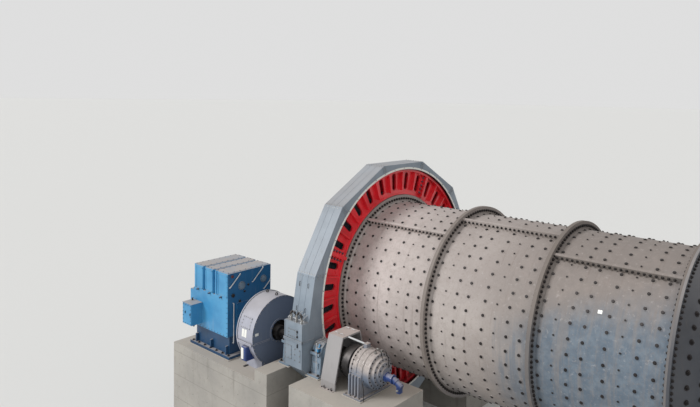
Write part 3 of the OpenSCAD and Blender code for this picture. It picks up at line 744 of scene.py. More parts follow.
# Heads and trunnions: liner bolts on the cones, trunnion flange bolts
headBolts = Sizes(
    rings=((3.55, 46), (3.0, 38), (2.5, 30)), nut=0.058, washer=0.1,
    coneFrom=(4.10, 0.09), coneTo=(2.15, 1.15),  # radius and distance from the shell
    trunnionR=1.98, trunnionCount=48, trunnionX=1.37, trunnionNut=0.06,
)


def headBoltPieces(s):
    (r0, x0), (r1, x1) = s.coneFrom, s.coneTo
    slope = (x1 - x0) / (r0 - r1)
    lean = atan2(r0 - r1, x1 - x0)
    ends = ((mill.startX, -1), (mill.endX, 1))
    spots = []
    for endX, side in ends:
        for radius, count in s.rings:
            x = endX + side * (x0 + (r0 - radius) * slope)
            for i in range(count):
                angle = 360 * (i + 0.5) / count
                facing = outward(angle) * cos(lean) + Vector((side * sin(lean), 0, 0))
                spots.append((onShell(x, radius, angle), facing))
    grow("head_bolts", "field", spots, bolts(s.nut, s.washer, seed=5), body="drum")
    faces = [(endX + side * s.trunnionX, side) for endX, side in ends]
    boltRings("trunnion_bolts", faces, s.trunnionCount, s.trunnionR, bolts(s.trunnionNut, seed=6))


headBoltPieces(headBolts)


# Ring gear: splice plates and bolts where its quarters meet
gearJoint = Sizes(
    firstAngle=24.5, halfWidth=0.29, plateX=2.39, inner=4.60, outer=5.62, plateT=0.05,
    rows=5, column=0.62, lugX=(1.85, 2.08, 2.52), lugOut=0.08, nut=0.055,
    beadX=2.385, beadR=(4.425, 4.485), beadT=0.05,
)


def gearJointPieces(s):
    plates, spots, lugSpots = Solid(), [], []
    for quarter in range(4):
        angle = s.firstAngle + 90 * quarter
        across = Vector((0, sin(radians(angle)), cos(radians(angle))))
        corners = []
        for radius, side in ((s.inner, -1), (s.inner, 1), (s.outer, 1), (s.outer, -1)):
            corners.append(onShell(s.plateX, radius, angle) + across * side * s.halfWidth)
        plates.plate(corners, forward, s.plateT)
        for i in range(s.rows):
            radius = s.inner + (s.outer - s.inner) * (i + 0.5) / s.rows
            for side in (-s.column, s.column):
                place = onShell(s.plateX + s.plateT, radius, angle) + across * side * s.halfWidth
                spots.append((place, forward))
            for side in (-1, 1):
                for x in s.lugX:
                    place = onShell(x, radius, angle) + across * side * s.lugOut
                    lugSpots.append((place, across * side))
    plates.done("gear_splice_plates", "gear_red", body="drum")
    dull = steelFinish("jointBolts", (128, 104, 116), (96, 66, 78), 0.5, 0.4, 0.1)
    grow("gear_joint_bolts", "field", spots, bolts(s.nut, 0.0, dull, 7), body="drum")
    red = bolts(s.nut, 0.0, finishes["gear_red"], 8)
    grow("gear_lug_bolts", "field", lugSpots, red, "drum")
    (inner, outer), t = s.beadR, s.beadT
    profile = [(0, inner), (0, outer), (t * 0.8, outer), (t, outer - 0.012), (t, inner)]
    bead = Solid()
    bead.lathe(profile, axis + Vector((s.beadX, 0, 0)), forward, 144, True)
    bead.done("gear_hub_bead", "gear_red", body="drum")


gearJointPieces(gearJoint)
print("heads and gear dressed")


# Gear guard: joint strips at its corners, seal clamp, handles
guardSizes = Sizes(
    corners=((6.265, 1.495), (4.582, 4.353), (1.624, 6.026)), footY=6.28,  # from the mill's axis
    strip=0.11, stripT=0.018, gap=0.012, boltIn=0.08,
    ledgeY=6.28, ledges=((-0.07, -0.005), (0.005, 0.07)),
    sealR=(5.765, 5.86), clampT=0.012, clampIn=0.022, clampBolts=48,
    handleX=(1.90, 2.44), handleUp=(2.78, 1.72, 0.72), handleFar=0.06, handleHalf=0.09,
    flareTop=3.2255, flareOut=0.262, flare=9.5,  # the pinion box's sloping side
)


def guardPieces(s):
    low, high = nodeBox["guard_upper_near"]
    x0, x1 = low.x, high.x - 0.001
    strips, spots = Solid(), []
    corners = [Vector((0, -y, z)) for y, z in s.corners]
    corners += [Vector((0, -corner.y, corner.z)) for corner in corners[::-1]]
    corners = [Vector((0, -s.footY, 0))] + corners + [Vector((0, s.footY, 0))]
    for i in range(1, len(corners) - 1):
        for other in (corners[i - 1], corners[i + 1]):
            along = (other - corners[i]).normalized()
            facing = Vector((0, along.z, -along.y))
            if facing.dot(corners[i]) < 0:
                facing = -facing
            start = axis + corners[i] + along * s.gap
            end = start + along * s.strip
            outline = ((x0, start), (x1, start), (x1, end), (x0, end))
            strips.plate([Vector((x, *p.yz)) for x, p in outline], facing, s.stripT)
            y, z = ((start + end) / 2 + facing * s.stripT).yz
            spots += rowSpots((x0 + s.boltIn, y, z), (x1 - s.boltIn, y, z), 7, facing)
        inward = -corners[i].normalized()
        across = Vector((0, inward.z, -inward.y))
        reach = corners[i].length - s.sealR[1] - 0.03
        for side in (-1, 1):
            foot = axis + corners[i] + across * side * (s.gap + s.strip / 2) + inward * 0.03
            tip = foot + inward * reach * 0.94
            half = across * s.strip / 2
            outline = (foot - half, foot + half, tip + half, tip - half)
            strips.plate([Vector((x1, *p.yz)) for p in outline], forward, s.stripT)
            start, end = ((x1 + s.stripT, *foot.lerp(tip, part).yz) for part in (0.2, 0.8))
            spots += rowSpots(start, end, 3, forward)
    for side in (-1, 1):
        y = side * s.ledgeY
        for low, high in s.ledges:
            start = (x0, y - 0.02 * side, mill.axisZ + low)
            strips.box(start, (x1, y + 0.05 * side, mill.axisZ + high), 0.004)
    strips.done("guard_joint_strips", "guard_paint")
    inner, outer = s.sealR
    centre = axis + Vector((nodeBox["guard_seal"][1].x - s.clampIn, 0, 0))
    clamp = Solid()
    clamp.hoop(inner, outer, 0, s.clampT, centre, forward, 144)
    clamp.done("seal_clamp", "seal_strip")
    centre.x += 0.01
    spots += ringSpots(centre, forward, (inner + outer) / 2 + 0.02, s.clampBolts)
    grow("guard_bolts", "field", spots, bolts(0.017, 0.024, zincFinish, 11))
    handles = []
    rise = Vector((0, 0, s.handleHalf))
    for _, side in sides:
        for up in s.handleUp:
            out = s.flareOut + (s.flareTop - up) * tan(radians(s.flare))
            for x in s.handleX:
                foot = drive(side, x, out, up)
                handles.append(staple(foot - rise, foot + rise, (0, side * s.handleFar, 0)))
    pipes("guard_handles", handles, 0.011, 0.02, finishes["dark_steel"])


guardPieces(guardSizes)


# Pinion boxes: split flanges, covers, door and the spray valves on top
boxSizes = Sizes(
    face=7.0325, x=(1.635, 2.765), bottom=-0.72, top=1.27,
    seam=0.47, seamHalf=0.026, seamLift=0.032, seamFrom=0.30, latch=(2.46, 2.50, 0.20, 0.36),
    door=(2.17, 0.79, 0.56, 0.34), hingeUp=(0.68, 0.90),  # x, up, width and height
    covers=((1.9, -0.10, 0.42, 0.62), (2.48, -0.14, 0.36, 0.54)),
    valves=(  # x, out and height
        (1.78, 0.80, 0.22), (1.95, 0.90, 0.30), (2.12, 0.78, 0.26),
        (2.29, 0.90, 0.34), (2.46, 0.80, 0.24), (2.62, 0.90, 0.18)),
    header=(1.70, 2.70, 0.86, 0.12), pipesTo=0.56,
)


def pinionBoxPieces(name, side, s):
    at = partial(drive, side)
    face = s.face - mill.driveY
    (x0, x1), top = s.x, s.top
    facing = Vector((0, side, 0))
    paint, spots = Solid(), []
    for lift in (-s.seamLift, s.seamLift):
        low, high = s.seam + lift - s.seamHalf, s.seam + lift + s.seamHalf
        paint.box(at(x0 - 0.03, face, low), at(x1 + 0.03, face + 0.05, high), 0.004)
        paint.box(at(x1, s.seamFrom, low), at(x1 + 0.03, face + 0.05, high), 0.004)
    up = s.seam + s.seamLift + s.seamHalf
    spots += driveRow(side, (x0 + 0.05, x1 - 0.05), face + 0.025, up, 8, upward)
    x, up, width, height = s.door
    paint.panel(spots, at(x, face, up), facing, upward, width, height, 0.02, 0.12, 0.03)
    for coverX, up, wide, high in s.covers:
        paint.panel(spots, at(coverX, face, up), facing, upward, wide, high, 0.016, 0.2, 0.03)
    middle = at((x0 + x1) / 2, (face + 0.32) / 2, top)
    paint.panel(spots, middle, upward, facing, x1 - x0 - 0.1, face - 0.38, 0.014, 0.16, 0.03)
    for edge in (x0 + 0.02, x1 - 0.02):
        paint.box(at(edge - 0.02, face, s.bottom + 0.02), at(edge + 0.02, face + 0.018, top), 0.003)
    paint.done(name + "_pinion_box_covers", "guard_paint")
    grow(name + "_pinion_box_bolts", "field", spots, bolts(0.015, 0.022, zincFinish, 12))
    steel, runs, heads = Solid(), [], Solid()
    x += width / 2
    for up in s.hingeUp:
        heads.box(at(x - 0.01, face, up - 0.05), at(x + 0.04, face + 0.05, up + 0.05), 0.006)
    a, b, low, high = s.latch
    heads.box(at(a, face, low), at(b, face + 0.05, high), 0.006)
    for k, (x, out, tall) in enumerate(s.valves):
        foot = at(x, out, top + 0.01)
        profile = [
            (0, 0.05), (0.03, 0.05), (0.032, 0.03), (tall * 0.5, 0.03),
            (tall * 0.5, 0.05), (tall * 0.8, 0.05), (tall * 0.82, 0.025), (tall, 0.025)]
        steel.lathe(profile, foot, upward, 14)
        lean = Vector((0.7 - 0.5 * (k % 3), (0.4 - 0.5 * (k % 2)) * side, 1)).normalized()
        profile = stepped((0.025, 0.10), (0.05, 0.19)) + [(0.20, 0.035)]
        heads.lathe(profile, foot + Vector((0, 0, tall * 0.8)), lean, 12)
        steps = [(0, 0, tall * 0.6), (0.02, side * 0.09, tall * 0.6), (0.02, side * 0.09, -0.3)]
        runs.append([foot + Vector(step) for step in steps[:2 + k % 2]])
        reach, up = side * (s.pipesTo - out), tall * 0.66
        steps = [(0, 0, up), (0, reach * 0.5, up + 0.10), (0, reach, up + 0.16)]
        runs.append([foot + Vector(step) for step in steps])
    a, b, out, rise = s.header
    runs.append(staple(at(a, out, top), at(b, out, top), (0, 0, rise)))
    steel.done(name + "_spray_valves", "machined_steel", zincFinish)
    heads.done(name + "_spray_valve_heads", "dark_steel")
    pipes(name + "_spray_pipes", runs, 0.014, 0.04)


for name, side in sides:
    pinionBoxPieces(name, side, boxSizes)
print("guard dressed")


def border(low, high, width):  # four bars inside a rectangle, each as its lowest and highest corner
    (a, b), (c, d) = low, high
    yield (a, b), (c, b + width)
    yield (a, d - width), (c, d)
    yield (a, b + width), (a + width, d - width)
    yield (c - width, b + width), (c, d - width)


# Motors: covers, lugs, pale bars, cooler louvres, terminal box fittings and anchor bolts
motorSizes = Sizes(
    x0=-4.915, x1=-2.085, half=1.33, top=2.57, skirt=-0.515,
    bays=((-4.70, -4.14), (-3.89, -3.32), (-2.87, -2.12)), bayUp=(1.42, 2.50), bar=0.05,
    tops=((-4.89, -4.01), (-3.93, -3.19), (-3.10, -2.11)),
    lugX=(-4.50, -3.53, -2.60), lugUp=1.36, lugOut=0.035,
    straps=(
        ((1.24, 1.90), (0.62, 2.48)),
        ((-0.14, 1.91), (-0.80, 2.53)),
        ((-0.87, 1.42), (-1.29, 1.80))),
    covers=((0.50, 1.86, 0.21), (-0.86, 1.92, 0.19)),  # out, up and radius
    plugs=((0.62, 1.13, 0.06), (1.03, 1.48, 0.09), (0.11, 1.83, 0.05), (0.34, 1.55, 0.05)),
    tube=(1.02, 1.10, -0.84), cap=(1.09, 2.42), rowUp=(0.1, 2.3, 2.50),
    longPanel=(-3.3, 0.35, 1.5, 1.1), endPanel=(-0.1, 0.45, 1.8, 1.2),  # place, width and height
    solePlate=(-5.115, -1.885, 1.39, -1.40),
    stepX=-5.215, stepTop=1.23, louvres=(("a", -1.16, -0.06), ("b", 0.06, 1.16)),
    louvreUp=(-0.36, 1.06), slats=16, firstSlat=-0.25, slatPitch=0.082, slatLean=0.6,
    box=(-4.925, -4.165, 1.95, -0.315, 0.735),  # ends, face, bottom and top
    vent=(-4.77, 1.50), glands=(-4.80, -4.60, -4.40), glandOut=1.66,
    locks=((-4.26, 0.24), (-4.68, 0.29)),
)


def motorPieces(name, side, s):
    at = partial(drive, side)
    paint, dark, lugs, rounds, spots, soleSpots = Solid(), Solid(), Solid(), Solid(), [], []
    half, x0, x1, bar = s.half, s.x0, s.x1, s.bar
    for face in (-1, 1):  # inner and outer long faces
        facing = Vector((0, side * face, 0))
        wall, proud = face * half, face * (half + s.lugOut)
        low, high = s.bayUp
        for a, b in s.bays:
            bars = (((a, low), (a + bar, high)), ((b - bar, low), (b, high)),
                    ((a, high - bar), (b, high)), ((a, low), (b, low + bar)))
            for p, q in bars:
                paint.box(at(p[0], wall, p[1]), at(q[0], face * (half + 0.014), q[1]), 0.003)
        for x in s.lugX:
            lugs.box(at(x - 0.06, wall, s.lugUp - 0.05), at(x + 0.06, proud, s.lugUp + 0.05), 0.01)
            lugs.lathe(stepped((0.03, 0.05), (0.045, 0.075)), at(x, proud, s.lugUp), facing, 14)
        spots += driveRow(side, (x0 + 0.1, x1 - 0.06), wall, s.skirt + 0.06, 12, facing)
        x = x1 - 0.05
        spots += rowSpots(at(x, wall, s.skirt + 0.2), at(x, wall, s.top - 0.15), 12, facing)
        if face == -1 or name == "far":
            x, up, width, height = s.longPanel
            paint.panel(spots, at(x, wall, up), facing, upward, width, height, 0.018, 0.3)
        a, b, out, up = s.solePlate
        soleSpots += driveRow(side, (a + 0.16, b - 0.16), face * (out - 0.1), up, 7, upward)
    for a, b in s.tops:
        centre = at((a + b) / 2, 0, s.top)
        paint.panel(spots, centre, upward, crosswise, b - a - 0.12, 2 * half - 0.16, 0.012, 0.36)
    for out, up, r in s.covers:
        profile = [(0, r), (0.03, r), (0.035, r * 0.72), (0.06, r * 0.7), (0.066, r * 0.6)]
        rounds.lathe(profile, at(x1, out, up), forward, 28)
        spots += ringSpots(at(x1 + 0.03, out, up), forward, r * 0.86, 10)
    for out, up, r in s.plugs:
        dark.lathe([(0, r), (0.05, r), (0.06, r * 0.8)], at(x1, out, up), forward, 16)
    out, up, width, height = s.endPanel
    paint.panel(spots, at(x1, out, up), forward, upward, width, height, 0.02, 0.3)
    low, high, up = s.rowUp
    out = half - 0.06
    spots += rowSpots(at(x1, -out, up), at(x1, out, up), 11, forward)
    spots += rowSpots(at(x1, out, low), at(x1, out, high), 10, forward)
    # pale diagonal bars and a tube across the motor's end
    straps = [staple(at(x1 - 0.005, *a), at(x1 - 0.005, *b), (0.06, 0, 0)) for a, b in s.straps]
    out, high, low = s.tube
    straps.append(staple(at(x1, out, high), at(x1, out, low), (0.07, 0, 0)))
    pipes(name + "_motor_straps", straps, 0.026, 0.03)
    # step at the outer end: lid and louvres
    stepX = s.stepX
    centre = at((stepX + x0) / 2, 0, s.stepTop)
    paint.panel(spots, centre, upward, crosswise, x0 - stepX - 0.04, 2.3, 0.012, 0.4, 0.03)
    bottom, top = s.louvreUp
    for letter, low, high in s.louvres:
        for p, q in border((low, bottom), (high, top), bar):
            paint.box(at(stepX - 0.03, *p), at(stepX, *q), 0.004)
        rows, middle = [], (low + high) / 2
        for i in range(s.slats):
            rows.append((at(stepX - 0.012, middle, s.firstSlat + s.slatPitch * i), forward))
        slat = (0.012, high - low - 0.1, 0.075)
        sizes = {"Material": finishes["motor_blue"], "Size": slat, "Lean": (0, s.slatLean, 0)}
        grow(name + "_motor_louvres_" + letter, "slats", rows, sizes)
    # terminal box
    a, b, out, low, high = s.box
    facing = Vector((0, side, 0))
    centre = at((a + b) / 2, out, (low + high) / 2)
    paint.panel(spots, centre, facing, upward, b - a - 0.05, high - low - 0.05, 0.022, 0.2, 0.04)
    paint.box(at(a - 0.02, half, high), at(b + 0.02, out + 0.03, high + 0.02), 0.005)
    profile = stepped((0.05, 0.02), (0.03, 0.09), (0.05, 0.12))
    dark.lathe(profile, at(*s.vent, high + 0.02), upward, 14)
    for x in s.glands:
        dark.lathe(stepped((0.055, 0.05), (0.04, 0.14)), at(x, s.glandOut, low), -upward, 12)
    for x, up in s.locks:
        dark.box(at(x - 0.02, out + 0.02, up - 0.06), at(x + 0.02, out + 0.05, up + 0.06), 0.005)
    paint.done(name + "_motor_covers", "motor_blue")
    dark.done(name + "_motor_fittings", "dark_steel")
    rounds.done(name + "_motor_round_covers", "bearing_paint")
    lugs.done(name + "_motor_lugs", "motor_dark_blue")
    cap = Solid()
    cap.lathe(stepped((0.06, 0.03), (0.075, 0.06)) + [(0.075, 0.05)], at(x1, *s.cap), forward, 20)
    cap.done(name + "_motor_cap", "gear_red")
    small = bolts(0.014, 0.02, finishes["motor_dark_blue"], 21, stud=False)
    grow(name + "_motor_cover_bolts", "field", spots, small)
    grow(name + "_motor_anchor_bolts", "field", soleSpots, bolts(0.045, 0.07, seed=22))


for name, side in sides:
    motorPieces(name, side, motorSizes)
print("motors dressed")


# Clutch guards: rim and face bolts, split flanges, lifting eyes, hub ring, side box, plain plates
clutchSizes = Sizes(
    x0=-0.965, x1=0.135, r=1.62, up=0.1, hole=0.48,
    split=-0.2, splitLift=0.03, splitHalf=0.024,
    cover=(-0.42, 22, 0.26), coverSize=(0.52, 0.62, 0.014, 0.16, 0.03),  # x, angle, half the width
    plateX=(-0.54, -0.36), plateAngle=5, plateSize=(0.36, 0.15, 0.024), tag=(1.36, 0.24),
    tagSize=(0.2, 0.12, 0.006), footOut=1.17, footUp=(-1.56, -1.53),
    sideBox=(-0.52, -0.18, 1.40, 1.72, -1.0, -0.32),  # from and to, in x, out and up
)


def clutchGuardPieces(name, side, s):
    at = partial(drive, side)
    paint, spots, dark = Solid(), [], Solid()
    x0, x1, r, axisUp, hole = s.x0, s.x1, s.r, s.up, s.hole
    centre = at(x1, 0, axisUp)
    paint.hoop(hole, hole + 0.09, 0, 0.02, centre, forward, 48)
    spots += ringSpots(centre + forward * 0.02, forward, hole + 0.045, 16)
    paint.hoop(r - 0.05, r + 0.006, 0, 0.012, centre, forward, 96)
    spots += ringSpots(centre + forward * 0.012, forward, r - 0.025, 48, 3)
    spots += ringSpots(at(x0 + 0.03, 0, axisUp), forward, r + 0.016, 48, 3)
    edge = sqrt(r * r - (s.split - axisUp) ** 2)
    for face in (-1, 1):
        for lift in (-s.splitLift, s.splitLift):
            low, high = s.split + lift - s.splitHalf, s.split + lift + s.splitHalf
            start = at(x0 + 0.04, face * (edge - 0.02), low)
            paint.box(start, at(x1 - 0.02, face * (edge + 0.07), high), 0.004)
            start = at(x1, face * (hole + 0.12), low)
            paint.box(start, at(x1 + 0.03, face * (edge - 0.07), high), 0.004)
        up = s.split + s.splitLift + s.splitHalf
        spots += driveRow(side, (x0 + 0.12, x1 - 0.1), face * (edge + 0.03), up, 7, upward)
    for x in (x0 + 0.22, x1 - 0.22):
        dark.hoop(0.045, 0.075, -0.02, 0.02, at(x, 0, axisUp + r + 0.06), forward)
        dark.lathe(stepped((0.05, 0.02)), at(x, 0, axisUp + r - 0.004), upward, 16)
    x, angle, wide = s.cover
    angle = radians(angle)
    facing = Vector((0, side * cos(angle), sin(angle)))
    spot = at(x, 0, axisUp) + facing * (r * cos(asin(wide / r)) + 0.012)
    paint.panel(spots, spot, facing, forward, *s.coverSize)
    a, b, o0, o1, low, high = s.sideBox
    box = Solid()
    box.box(at(a, o0 - 0.25, low), at(b, o1, high), 0.02)
    box.box(at(a + 0.03, o1, low + 0.04), at(b - 0.03, o1 + 0.015, high - 0.04), 0.004)
    box.done(name + "_clutch_valve_box", "small_motor_blue")
    plates = Solid()
    turn = radians(s.plateAngle)
    facing = Vector((0, side * cos(turn), sin(turn)))
    for x in s.plateX:
        plates.panel([], at(x, 0, axisUp) + facing * (r - 0.016), facing, forward, *s.plateSize)
    start = at(a - 0.004, o1 + 0.016, low + 0.08)
    plates.box(start, at((a + b) / 2, o1 + 0.02, high - 0.08), 0.002)
    plates.panel([], at(x1, *s.tag), forward, upward, *s.tagSize)
    plates.done(name + "_clutch_guard_plates", "seal_strip")
    low, high = s.footUp
    for x in (x0 + 0.1, x1 - 0.1):
        for out in (-s.footOut, s.footOut):
            dark.box(at(x - 0.06, out - 0.13, low), at(x + 0.06, out + 0.13, high), 0.004)
    paint.done(name + "_clutch_guard_rims", "clutch_guard_paint")
    dark.done(name + "_clutch_guard_eyes", "dark_steel")
    grow(name + "_clutch_guard_bolts", "field", spots, bolts(0.016, 0.024, zincFinish, 31))


for name, side in sides:
    clutchGuardPieces(name, side, clutchSizes)


# Pinion bearings: cap bolts, anchor bolts, end covers, grease and probe fittings
pedestalSizes = Sizes(
    x=(0.955, 2.825), length=0.62, coverR=(0.235, 0.34),
    capBolt=(0.17, 0.55, 0.06), soleBolt=(0.24, 0.64, 0.11), nut=0.046,
    # fittings, from the bearing's middle: x, out and up
    pipeX=0.15, pipe=((0.12, 0.42), (0.12, 0.52), (0.66, 0.52), (0.66, -0.86)),
    cap=(0, 0.08, 0.43), probe=(-0.12, 0.30, 0.30), sensorHead=(0.11, 0.46, 0.24),
    hatch=((-0.16, 0.5, -0.66), (0.16, 0.565, -0.40)),
    sensor=((0.02, 0.40, 0.10), (0.20, 0.60, 0.26)),
)


def pedestalPieces(name, side, s):
    capSpots, coverSpots, cover, sensors, runs, heads = [], [], Solid(), Solid(), [], Solid()
    inner, outer = s.coverR
    for x in s.x:
        here = partial(driveFrom, side, x + s.length / 2)
        for face in (-1, 1):
            along, out, up = s.capBolt
            for dx in (-along, along):
                capSpots.append((here(dx, face * out, up), upward))
                capSpots.append((here(dx, face * out, -up), -upward))
            along, out, up = s.soleBolt
            for dx in (-along, along):
                capSpots.append((here(dx, face * out, soleUp + up), upward))
            facing = forward * face
            foot = here(face * s.length / 2, 0, 0)
            profile = [(0, inner), (0, outer), (0.03, outer), (0.05, inner + 0.03), (0.05, inner)]
            cover.lathe(profile, foot, facing, 40, True)
            coverSpots += ringSpots(foot + facing * 0.03, facing, outer - 0.03, 10)
        profile = stepped((0.05, 0.02), (0.028, 0.1), (0.05, 0.16)) + [(0.175, 0.035)]
        heads.lathe(profile, here(*s.cap), upward, 16)
        profile = stepped((0.02, 0.12), (0.045, 0.20))
        heads.lathe(profile, here(*s.probe), (0, side * 0.7, 0.7), 12)
        runs.append([here(s.pipeX, out, up) for out, up in s.pipe])
        cover.box(*(here(*corner) for corner in s.hatch), 0.01)
        sensors.box(*(here(*corner) for corner in s.sensor), 0.015)
        profile = stepped((0.04, 0.12), (0.055, 0.16))
        sensors.lathe(profile, here(*s.sensorHead), (0, -0.4 * side, 0.9), 14)
    sensors.done(name + "_bearing_sensors", "motor_blue")
    cover.done(name + "_bearing_covers", "bearing_paint")
    heads.done(name + "_bearing_probes", "machined_steel", zincFinish)
    pipes(name + "_bearing_pipes", runs, 0.014, 0.05)
    grow(name + "_bearing_cap_bolts", "field", capSpots, bolts(s.nut, 0.065, seed=41))
    grow(name + "_bearing_cover_bolts", "field", coverSpots, bolts(0.018, 0.0, zincFinish, 42))


for name, side in sides:
    pedestalPieces(name, side, pedestalSizes)
print("clutch guards and pinion bearings dressed")


# Inching drive: hood feet and tube, drum bolts, gearbox bolts and fittings, small motor's ports
inchingSizes = Sizes(
    hood=(3.925, 4.735), hoodFoot=1.01, drum=(4.795, 5.17), x=5.30, r=0.80,
    rings=((0.12, 0.783, 28), (1.0, 0.68, 22), (1.16, 0.525, 16), (1.25, 0.35, 10)),
    eyes=(0.2, 0.62), eyeOut=-0.32, eyeR=0.76, ports=(2.02, 0.09, -0.42),
    handleOut=0.35, handleUp=1.12, handleHalf=0.07, tube=((4.68, 0.22, 1.08), (5.50, -0.05, 0.90)),
    # bracket, fittings and pipes: x from the gearbox's end, out and up
    bracket=((0.14, -0.19, 0.70), (0.34, 0.07, 0.96)),
    fittings=(
        ((0.82, 0.1, 0.70), ((0.04, 0.06), (0.06, 0.12)), upward, 14),
        ((0.96, -0.12, 0.72), ((0.035, 0.07), (0.05, 0.13)), upward, 14),
        ((0.55, 0.78, -0.45), ((0.05, 0.03), (0.035, 0.06)), -crosswise, 16)),
    pipes=(
        ((0.82, 0.1, 0.80), (0.82, 0.1, 0.90), (1.08, 0.05, 0.86), (1.14, 0.02, 0.56)),
        ((0.96, -0.12, 0.84), (1.12, -0.2, 0.82), (1.26, -0.24, 0.5), (1.30, -0.2, 0.18)),
        ((0.72, 0.70, -0.25), (0.76, 0.80, -0.30), (0.86, 0.84, -0.60), (0.86, 0.84, -1.02))),
)


def inchingPieces(s):
    side = -1
    at = partial(drive, side)
    (a, b), footOut = s.hood, s.hoodFoot
    foot, spots, steel, paint = Solid(), [], Solid(), Solid()
    for face in (-1, 1):
        start = at(a + 0.02, face * (footOut - 0.02), soleUp)
        foot.box(start, at(b - 0.02, face * (footOut + 0.12), soleUp + 0.02), 0.004)
        ends, up = (a + 0.12, b - 0.12), soleUp + 0.02
        spots += driveRow(side, ends, face * (footOut + 0.06), up, 4, upward)
        for x in (a + 0.2, b - 0.2):
            start = at(x - 0.012, face * (footOut - 0.02), soleUp)
            foot.box(start, at(x + 0.012, face * (footOut + 0.09), soleUp + 0.12), 0.003)
    foot.done("hood_feet", "coupling_guard_paint")
    handles = []
    for x in (a + 0.25, b - 0.25):
        for out in (-s.handleOut, s.handleOut):
            top, half = at(x, out, s.handleUp), forward * s.handleHalf
            handles.append(staple(top - half, top + half, (0, 0, 0.06)))
    pipes("hood_tube_and_handles", handles, 0.011, 0.02)
    pipes("hood_tube", [[at(*end) for end in s.tube]], 0.04, 0.0)
    x, r = s.x, s.r
    here = partial(driveFrom, side, x)
    paint.box(*(here(*corner) for corner in s.bracket), 0.02)
    for along, radius, count in s.rings:
        spots += ringSpots(here(along, 0, 0), forward, radius, count, 4)
    for face in (-1, 1):
        spots += driveRow(side, (x - 0.02, x + 0.70), face * (r + 0.11), soleUp + 0.09, 4, upward)
    eyeUp = sqrt(s.eyeR ** 2 - s.eyeOut ** 2) + 0.05
    for along in s.eyes:
        steel.hoop(0.04, 0.07, -0.02, 0.02, here(along, s.eyeOut, eyeUp), (0, 0.4, 0.9))
    for place, steps, facing, count in s.fittings:
        steel.lathe(stepped(*steps), here(*place), facing, count)
    paint.done("gearbox_bracket", "gearbox_paint")
    steel.done("gearbox_fittings", "machined_steel", zincFinish)
    runs = [[here(*place) for place in run] for run in s.pipes]
    pipes("gearbox_pipes", runs, 0.016, 0.06, finishes["dark_steel"])
    grow("inching_bolts", "field", spots, bolts(0.024, 0.034, seed=51))
    low, high = s.drum
    spots = ringSpots(at(high, 0, 0), forward, 0.52, 20)
    spots += ringSpots(at(low, 0, 0), -forward, 0.66, 24)
    grow("drum_bolts", "field", spots, bolts(0.028, 0.0, zincFinish, 52), body="near_pinion_shaft")
    ports = Solid()
    along, out, up = s.ports
    for face in (-1, 1):
        profile = stepped((0.03, 0.05), (0.045, 0.1), (0.03, 0.13))
        ports.lathe(profile, here(along, face * out, up), (0, -face, 0), 12)
    ports.done("inching_motor_ports", "machined_steel", zincFinish)


inchingPieces(inchingSizes)
print("inching drive dressed")


# Main bearings: split and sole bolts, seal rings, lids, lifting lugs, probes and pipes
mainSizes = Sizes(
    half=0.65, flangeY=2.24, flangeUp=0.13, flangeUnder=0.03, soleY=2.36, soleUp=-2.84,
    boltX=(-0.48, -0.16, 0.16, 0.48), nut=0.06, sealR=(1.672, 1.93), topR=1.98,
    lid=(0.62, 0.72), lugY=1.05, lugUp=(1.64, 1.86), probe=(0.3, 1.4),  # x and y
    pipeX=-0.3, pipeY=(1.2, 2.62, 2.2), pipeUp=(1.75, -2.5),
)


def mainBearingPieces(name, x, s):
    spots, sealSpots, lidSpots, seal, lids, heads, runs = [], [], [], Solid(), Solid(), Solid(), []

    def at(along, y, up):
        return axis + Vector((x, 0, 0)) + Vector((along, y, up))

    inner, outer = s.sealR
    for face in (-1, 1):
        for dx in s.boltX:
            spots.append((at(dx, face * s.flangeY, s.flangeUp), upward))
            spots.append((at(dx, face * (s.flangeY + s.flangeUnder), -s.flangeUp), -upward))
            spots.append((at(dx, face * s.soleY, s.soleUp), upward))
        facing = forward * face
        foot = at(face * s.half, 0, 0)
        profile = [(0, inner), (0, outer), (0.035, outer), (0.06, outer - 0.06), (0.06, inner)]
        seal.lathe(profile, foot, facing, 96, True)
        sealSpots += ringSpots(foot + facing * 0.035, facing, outer - 0.035, 32)
        y, (low, high) = face * s.lugY, s.lugUp
        lids.box(at(-0.03, y - 0.05, low), at(0.03, y + 0.05, high), 0.01)
        px, py = s.probe
        profile = [(-0.02, 0.03), (0.12, 0.03), (0.125, 0.055), (0.22, 0.055), (0.23, 0.045)]
        probe = at(px, face * py, sqrt(s.topR ** 2 - py ** 2))
        heads.lathe(profile, probe, (0, face * 0.7, 0.7), 14)
        start, far, end = s.pipeY
        high, low = s.pipeUp
        cap = sqrt(s.topR ** 2 - start ** 2)
        route = ((start, cap), (start, high), (far, high), (far, low), (end, low))
        runs.append([at(s.pipeX, face * y, up) for y, up in route])
    wide, long = s.lid
    top = s.topR - 0.045
    lids.box(at(-wide / 2, -long / 2, top), at(wide / 2, long / 2, top + 0.1), 0.012)
    centre = at(0, 0, top + 0.1)
    lids.panel(lidSpots, centre, upward, crosswise, wide + 0.06, long + 0.06, 0.02, 0.18, 0.04)
    seal.done(name + "_seal_rings", "bearing_paint")
    lids.done(name + "_lid", "bearing_paint")
    heads.done(name + "_probes", "machined_steel", zincFinish)
    pipes(name + "_oil_pipes", runs, 0.035, 0.12)
    grow(name + "_bolts", "field", spots, bolts(s.nut, 0.09, seed=61))
    grow(name + "_small_bolts", "field", sealSpots + lidSpots, bolts(0.022, 0.03, zincFinish, 62))


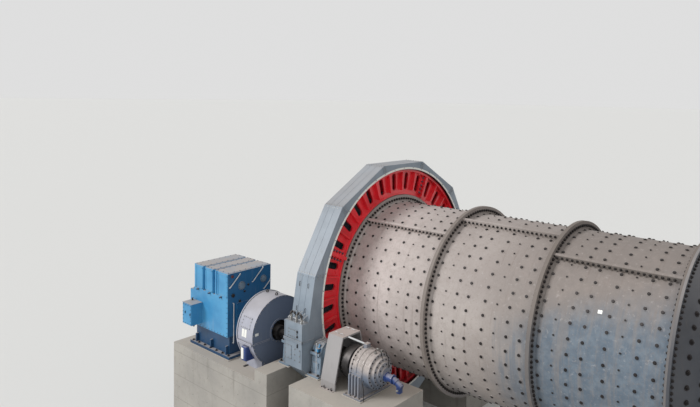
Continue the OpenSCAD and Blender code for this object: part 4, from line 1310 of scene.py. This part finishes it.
outerX = (nodeBox["outer_end_bearing_base"][0].x + nodeBox["outer_end_bearing_base"][1].x) / 2
mainBearingPieces("gear_end_bearing", 0.0, mainSizes)
mainBearingPieces("outer_end_bearing", outerX, mainSizes)
print("main bearings dressed")


# Concrete: grout round the soles, and the marks of the formwork's ties
groutSizes = Sizes(
    wide=0.07, high=0.035, holeR=0.018, firstTie=0.5, firstLift=0.6, edge=0.3,
    soles=(  # x, half the width and height of the soles on both drive blocks
        (-5.115, -1.885, 1.39, -1.56), (0.935, 1.595, 0.72, soleUp), (2.805, 3.465, 0.72, soleUp)),
    gearboxSole=(5.18, 6.10, 0.97, soleUp),
    flat={"Nut Height": 0.002, "Washer Height": 0.001, "Stud Height": 0.001},
)


def tiePlaces(low, high, s):  # distances along a face
    count = int((high - low - 2 * s.edge) / formLift) + 1
    return [low + s.firstTie + i * formLift for i in range(count)]


def groutPieces(s):
    grout, w = Solid(), s.wide
    soles = [(side, *sole) for _, side in sides for sole in s.soles] + [(-1, *s.gearboxSole)]
    feet = []
    for side, a, b, out, up in soles:
        p, q = drive(side, a, -side * out, up), drive(side, b, side * out, up)
        feet.append((p, q))
    feet += [nodeBox["gear_end_bearing_base"], nodeBox["outer_end_bearing_base"]]
    for low, high in feet:
        for p, q in border((low.x - w, low.y - w), (high.x + w, high.y + w), w):
            grout.box((*p, low.z), (*q, low.z + s.high), 0.012)
    grout.done("sole_grout", "concrete")
    marks = []
    for name in ("gear_end_pier", "outer_end_pier", "near_drive_block", "far_drive_block"):
        low, high = nodeBox[name]
        for row in range(int((high.z - 0.9) / formLift)):
            z = s.firstLift + row * formLift
            for x in tiePlaces(low.x, high.x, s):
                marks += [(Vector((x, low.y, z)), -crosswise), (Vector((x, high.y, z)), crosswise)]
            for y in tiePlaces(low.y, high.y, s):
                marks += [(Vector((low.x, y, z)), -forward), (Vector((high.x, y, z)), forward)]
    kind = bolts(s.holeR, 0.0, finishes["dark_steel"], 71)
    grow("form_tie_marks", "field", marks, {**kind, **s.flat})


groutPieces(groutSizes)
print("concrete dressed")
